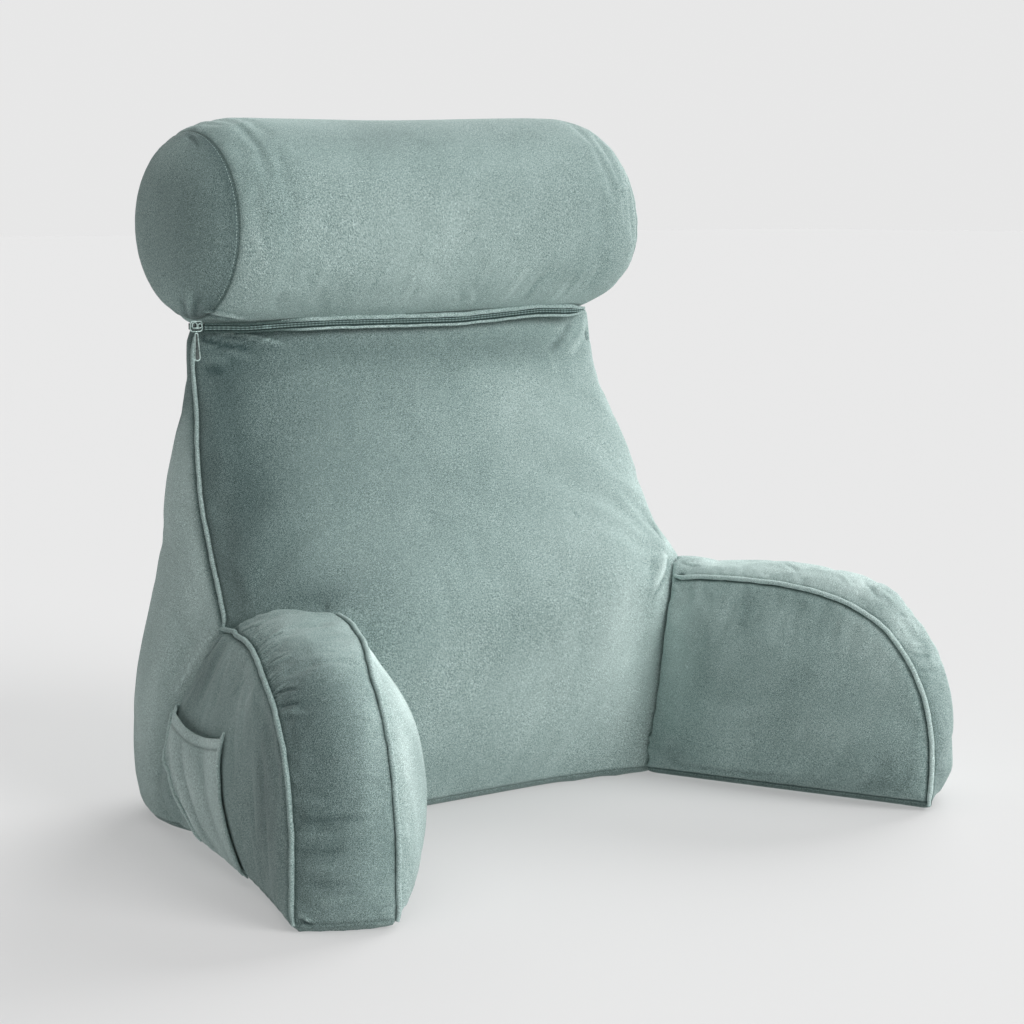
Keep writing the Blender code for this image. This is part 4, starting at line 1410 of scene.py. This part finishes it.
def makePocketSeam(tree, away, name, node, spots, seed):
    # a folded seam allowance standing off one edge
    look = pocketLook
    line = np.array([pocketGround(tree, spot) for spot in spots]) + away * look["seamOut"]
    line = resampleLine(line, look["seamStep"])
    reach = np.arange(len(line)) * look["seamStep"]
    line[:, 1] += look["seamWobble"] * waves(reach / 0.03, seed)
    ease = smoothStep(np.minimum(reach, reach[-1] - reach) / look["seamTaper"])
    mesh = sweepTube(name, line, look["seamRadius"], widths=0.5 + 0.5 * ease)
    piece = addPiece(name, mesh, velvets["trim"])
    setSpots(piece, "napAndPaintedLight", look["seamNap"])
    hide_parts(node)


def makePocketPieces():
    tree = treeFrom(arms["left"].data)
    away = np.array(armSpot(0, 1, 0) - armSpot(0, 0, 0))
    makePocket(tree, away)
    front, rear = [pocketEdge(edge)[6::4] for edge in ("frontEdge", "rearEdge")]
    front = np.vstack((front, front[-1] + np.array(pocketLook["frontTip"])))
    makePocketSeam(tree, away, "pocketSeamFront", "pocket_seam_front", front, 60)
    makePocketSeam(tree, away, "pocketSeamRear", "pocket_seam_rear", rear, 61)


makePocketPieces()
print("pocket made")


# ---- zip ----
zipLook = {
    # the coil's middle, in pixels of the photograph
    "path": ((208, 327.6), (222, 328.0), (236, 328.3), (248, 328.4), (262, 327.3), (280, 325.8),
             (300, 324.6), (330, 322.9), (375, 321.6), (420, 320.6), (460, 319.3), (500, 315.0),
             (522, 312.5), (542, 310.3), (560, 310.9), (575, 310.6), (590, 308.4)),
    "lastPixel": 587,
    "leftEnd": 0.0035,               # how far it runs on past its solid's left end
    "step": 0.001,
    "tapeHeight": 0.0100,
    "tapeThickness": 0.0009,
    "tapeBehind": 0.0022,
    "coilRadius": 0.00042,
    "coilRise": 0.00088,
    "wire": 0.00030,
    "coilPitch": 0.0010,
    "lipRise": 0.0042,
    "upperLip": (0.0017, 1.25),      # radius, and how much taller than thick
    "lowerLip": (0.0011, 1.10),
    "closing": 0.032,                # the lips close over this length at the right end
    "lipNap": 0.18,
    "firstStitch": 80,
    "stitchSize": (0.00095, 0.00030, 0.00030),
    "pullLength": 0.0225,
    "pullWidth": 0.0050,
    "pullTop": 0.0013,               # radius of the pull's upper end
    "pullWire": 0.00062,
    "sliderShift": (-0.0048, 0.0, 0.0012),
}


def curtainSpot(line, px, py):
    # where a pixel's ray passes over a line seen in plan
    eye, look = pixelRay(px, py)
    best = None
    for a, b in zip(line, line[1:]):
        run = b - a
        spread = look.x * run[1] - look.y * run[0]
        if abs(spread) < 1e-9:
            continue
        reach = ((a[0] - eye.x) * run[1] - (a[1] - eye.y) * run[0]) / spread
        share = ((a[0] - eye.x) * look.y - (a[1] - eye.y) * look.x) / spread
        if -0.02 <= share <= 1.02 and (best is None or abs(share - 0.5) < best[0]):
            best = (abs(share - 0.5), np.array(eye + look * reach))
    return None if best is None else best[1]


def zipFrames():
    co = nodePoints("zip_coil")
    line = roundedLine(ringCentres(co, co[:, 0], 0.0008), 0.003)
    spots = [curtainSpot(line, *pixel) for pixel in zipLook["path"]]
    spots = np.array([spot for spot in spots if spot is not None])
    spots = spots[np.argsort(spots[:, 0])]
    line[:, 2] = np.interp(line[:, 0], spots[:, 0], spots[:, 2])
    evenLine(line[:, 2:], 6)
    line = line[photoPixels(line)[0] < zipLook["lastPixel"]]
    outward = (line[0] - line[3]) / np.linalg.norm(line[0] - line[3])
    line = np.vstack((line[0] + zipLook["leftEnd"] * outward, line))
    line = roundedLine(line[::2], zipLook["step"])
    along = np.gradient(line, axis=0)
    along /= np.linalg.norm(along, axis=1, keepdims=True)
    out = np.cross(along, (0, 0, 1))
    out /= np.linalg.norm(out, axis=1, keepdims=True)
    out *= -np.sign(out[:, 1:2])
    up = np.cross(out, along)
    up *= np.sign(up[:, 2:3])
    return line, along, out, up


def makeTape(line, out, up):
    look = zipLook
    last = len(line) - 1
    tape, flat = addGrid("zipTape", last, 6, zipFinish["tape"])
    at = np.clip(np.round(flat[:, 0] * last).astype(int), 0, last)
    narrow = 0.42 + 0.58 * smoothStep((line[at, 0:1] + 0.15) / 0.08)
    narrow *= 0.35 + 0.65 * smoothStep((last - at[:, None]) / 30)
    setPoints(tape, line[at] + up[at] * (flat[:, 1:2] - 0.5) * look["tapeHeight"] * narrow
              - out[at] * look["tapeBehind"])
    facesTowards(tape, (0, -1, 0))
    shapeWith(tape, "SOLIDIFY", thickness=look["tapeThickness"], offset=1.0)
    tape.data.shade_smooth()
    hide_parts("zip_tape")


def makeCoil(name, rise, start, line, out, up):
    look = zipLook
    last = len(line) - 1
    turns = np.arange(0, look["step"] * last, look["coilPitch"] / 8)
    at = turns / look["step"]
    base = np.stack([np.interp(at, np.arange(last + 1), line[:, k]) for k in range(3)], axis=1)
    nearest = np.clip(np.round(at).astype(int), 0, last)
    angle = 2 * pi * turns / look["coilPitch"] + start
    radius = look["coilRadius"]
    wire = (base + up[nearest] * (rise + radius * np.cos(angle))[:, None]
            + out[nearest] * (radius * np.sin(angle) - 0.0002)[:, None])
    coil = addPiece(name, sweepTube(name, wire, look["wire"], 1), zipFinish["coil"])
    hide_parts("zip_coil")


def makeLip(name, node, side, radius, tall, line, out, up):
    # a rod of folded cloth, taller than thick, that closes on the coil at both ends
    look = zipLook
    reach = np.arange(len(line)) * look["step"]
    shrink = 0.45 + 0.55 * smoothStep((line[:, 0] + 0.165) / 0.05)
    closing = smoothStep((reach[-1] - reach) / look["closing"])
    rise = side * look["lipRise"] * (0.52 + 0.48 * shrink) * (0.34 + 0.66 * closing)
    shrink *= 0.45 + 0.55 * closing
    middle = line + up * rise[:, None] - out * 0.0004
    middle = middle + up * (0.00025 * waves(reach / 0.05, 70 + side))[:, None]
    lip = addPiece(name, sweepTube(name, middle, radius), velvets["trim"])
    where, foot = nearLine(getPoints(lip), middle)[1:]
    k = np.clip(np.round(where / look["step"]).astype(int), 0, len(line) - 1)
    rays = (getPoints(lip) - foot) * shrink[k][:, None]
    rays += up[k] * (np.einsum("ij,ij->i", rays, up[k]) * (tall - 1))[:, None]
    setPoints(lip, foot + rays)
    # painted shade on the lips towards their left end; lighter elsewhere by lipNap
    seen = smoothStep((line[k, 0] + 0.155) / 0.05)
    setSpots(lip, "paintedShade", 0.8 * (1 - seen))
    setSpots(lip, "napAndPaintedLight", look["lipNap"] * seen)
    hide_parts(node)
    return middle


def makeZip():
    look = zipLook
    line, along, out, up = zipFrames()
    makeTape(line, out, up)
    makeCoil("zipCoilUpper", look["coilRise"], 0.0, line, out, up)
    makeCoil("zipCoilLower", -look["coilRise"], pi, line, out, up)
    radius = look["upperLip"][0]
    middle = makeLip("zipLipUpper", "zip_lip_upper", 1, *look["upperLip"], line, out, up)
    places = [(middle[j] + up[j] * (radius * 0.55) + out[j] * (radius * 0.80), along[j], out[j] + up[j] * 0.5)
              for j in range(look["firstStitch"], len(line) - 4, 3)]
    addStitches("zipStitches", places, look["stitchSize"], 0.3)
    makeLip("zipLipLower", "zip_lip_lower", -1, *look["lowerLip"], line, out, up)


makeZip()


def pullLine(top, width):
    # narrow round above, wider round below, straight sides between
    length, small, large = zipLook["pullLength"], zipLook["pullTop"], width / 2
    lean = np.arcsin((large - small) / (length - small - large))
    spots = []
    for radius, drop, start, turn in ((small, small, lean, pi - 2 * lean),
                                      (large, length - large, pi - lean, pi + 2 * lean)):
        for angle in np.linspace(start, start + turn, 13):
            spots.append((radius * cos(angle), 0.0, -drop + radius * sin(angle)))
    spots = resampleLine(spots + spots[:1], 0.0006)[:-1]
    spots[:, 1] = 0.0014 * spots[:, 2] / length
    return spots + np.array(top)


def wireLoop(middle, wide, tall, corner):
    # a rounded oblong in the plane that faces the front
    spots = []
    for turn, (sideX, sideZ) in enumerate(((1, 1), (-1, 1), (-1, -1), (1, -1))):
        for angle in np.linspace(turn * pi / 2, (turn + 1) * pi / 2, 5):
            spots.append((sideX * (wide / 2 - corner) + corner * cos(angle), 0.0,
                          sideZ * (tall / 2 - corner) + corner * sin(angle)))
    return resampleLine(spots + spots[:1], 0.0007)[:-1] + np.array(middle)


def addMetal(name, node, mesh, finish):
    piece = addPiece(name, mesh, zipFinish[finish])
    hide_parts(node)
    return piece


def addWire(name, node, line, wire, closed=True):
    addMetal(name, node, sweepTube(name, line, wire, closed=closed), "litEnamel")


sliderLook = {
    # width, thickness, height and how far back
    "plates": ((0.0104, 0.0009, 0.0076, -0.0014), (0.0096, 0.0010, 0.0070, 0.0018)),
    "narrowEnd": 0.72,
    "bevel": 0.0004,
    "face": (0, -0.0022, 0),
    "rim": (0.0112, 0.0082, 0.0024),
    "rimWire": 0.00062,
    # place on the face, width and height
    "loops": (("zipSliderLoop", (-0.0020, -0.0008, 0.0008), 0.0046, 0.0048),
              ("zipSliderEye", (0.0030, -0.0008, 0.0004), 0.0034, 0.0034)),
    "loopWire": 0.00052,
    "bridgeWire": 0.0007,
    "pullHang": (-0.0006, -0.0030, -0.0006),
    "pullPlate": 0.0005,
}


def makeSlider(middle):
    # a dark body, painted shade, with lighter rim, loops and bridge, a painted highlight, on its face
    look = sliderLook
    bm = bmesh.new()
    for wide, thick, tall, back in look["plates"]:
        place = Matrix.Translation(middle + Vector((0, back, 0))) @ Matrix.Diagonal((wide, thick, tall, 1))
        for vert in bmesh.ops.create_cube(bm, size=1.0, matrix=place)["verts"]:
            if vert.co.x < middle.x:
                vert.co.z = middle.z + (vert.co.z - middle.z) * look["narrowEnd"]
    bmesh.ops.bevel(bm, geom=bm.edges[:], offset=look["bevel"], segments=3, profile=0.5, affect="EDGES",
                    material=-1)
    mesh = meshFrom("zipSlider", bm)
    mesh.shade_smooth()
    addMetal("zipSlider", "zip_slider", mesh, "shadedEnamel")

    face = middle + Vector(look["face"])
    addWire("zipSliderRim", "zip_slider", wireLoop(face, *look["rim"]), look["rimWire"])
    for name, offset, wide, tall in look["loops"]:
        loop = wireLoop(face + Vector(offset), wide, tall, tall * 0.42)
        addWire(name, "zip_slider", loop, look["loopWire"])
    arch = [face + Vector((0.0030 * cos(a) - 0.0006, -0.0004 - 0.0028 * sin(a), -0.0012))
            for a in np.linspace(0, pi, 17)]
    addWire("zipBridge", "zip_slider", arch, look["bridgeWire"], closed=False)


def makePull(middle):
    # a wire loop in the lighter enamel, a painted highlight, with a thin plate of the darker enamel, painted
    # shade, inside it
    look = zipLook
    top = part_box("zip_pull")[1][2] + look["sliderShift"][2]
    aside, forward, below = sliderLook["pullHang"]
    loop = pullLine(Vector((middle.x + aside, middle.y + forward, top + below)), look["pullWidth"])
    addWire("zipPull", "zip_pull", loop, look["pullWire"])
    bm = bmesh.new()
    rim = bmesh.ops.create_circle(bm, cap_ends=True, segments=len(loop), radius=1.0)["verts"]
    for vert, spot in zip(rim, loop):
        vert.co = spot
    plate = addMetal("zipPullWeb", "zip_pull", meshFrom("zipPullWeb", bm), "shadedEnamel")
    shapeWith(plate, "SOLIDIFY", thickness=sliderLook["pullPlate"], offset=0.0)


sliderBox = [Vector(corner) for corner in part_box("zip_slider")]
sliderMiddle = (sliderBox[0] + sliderBox[1]) / 2 + Vector(zipLook["sliderShift"])
makeSlider(sliderMiddle)
makePull(sliderMiddle)
print("zip made")
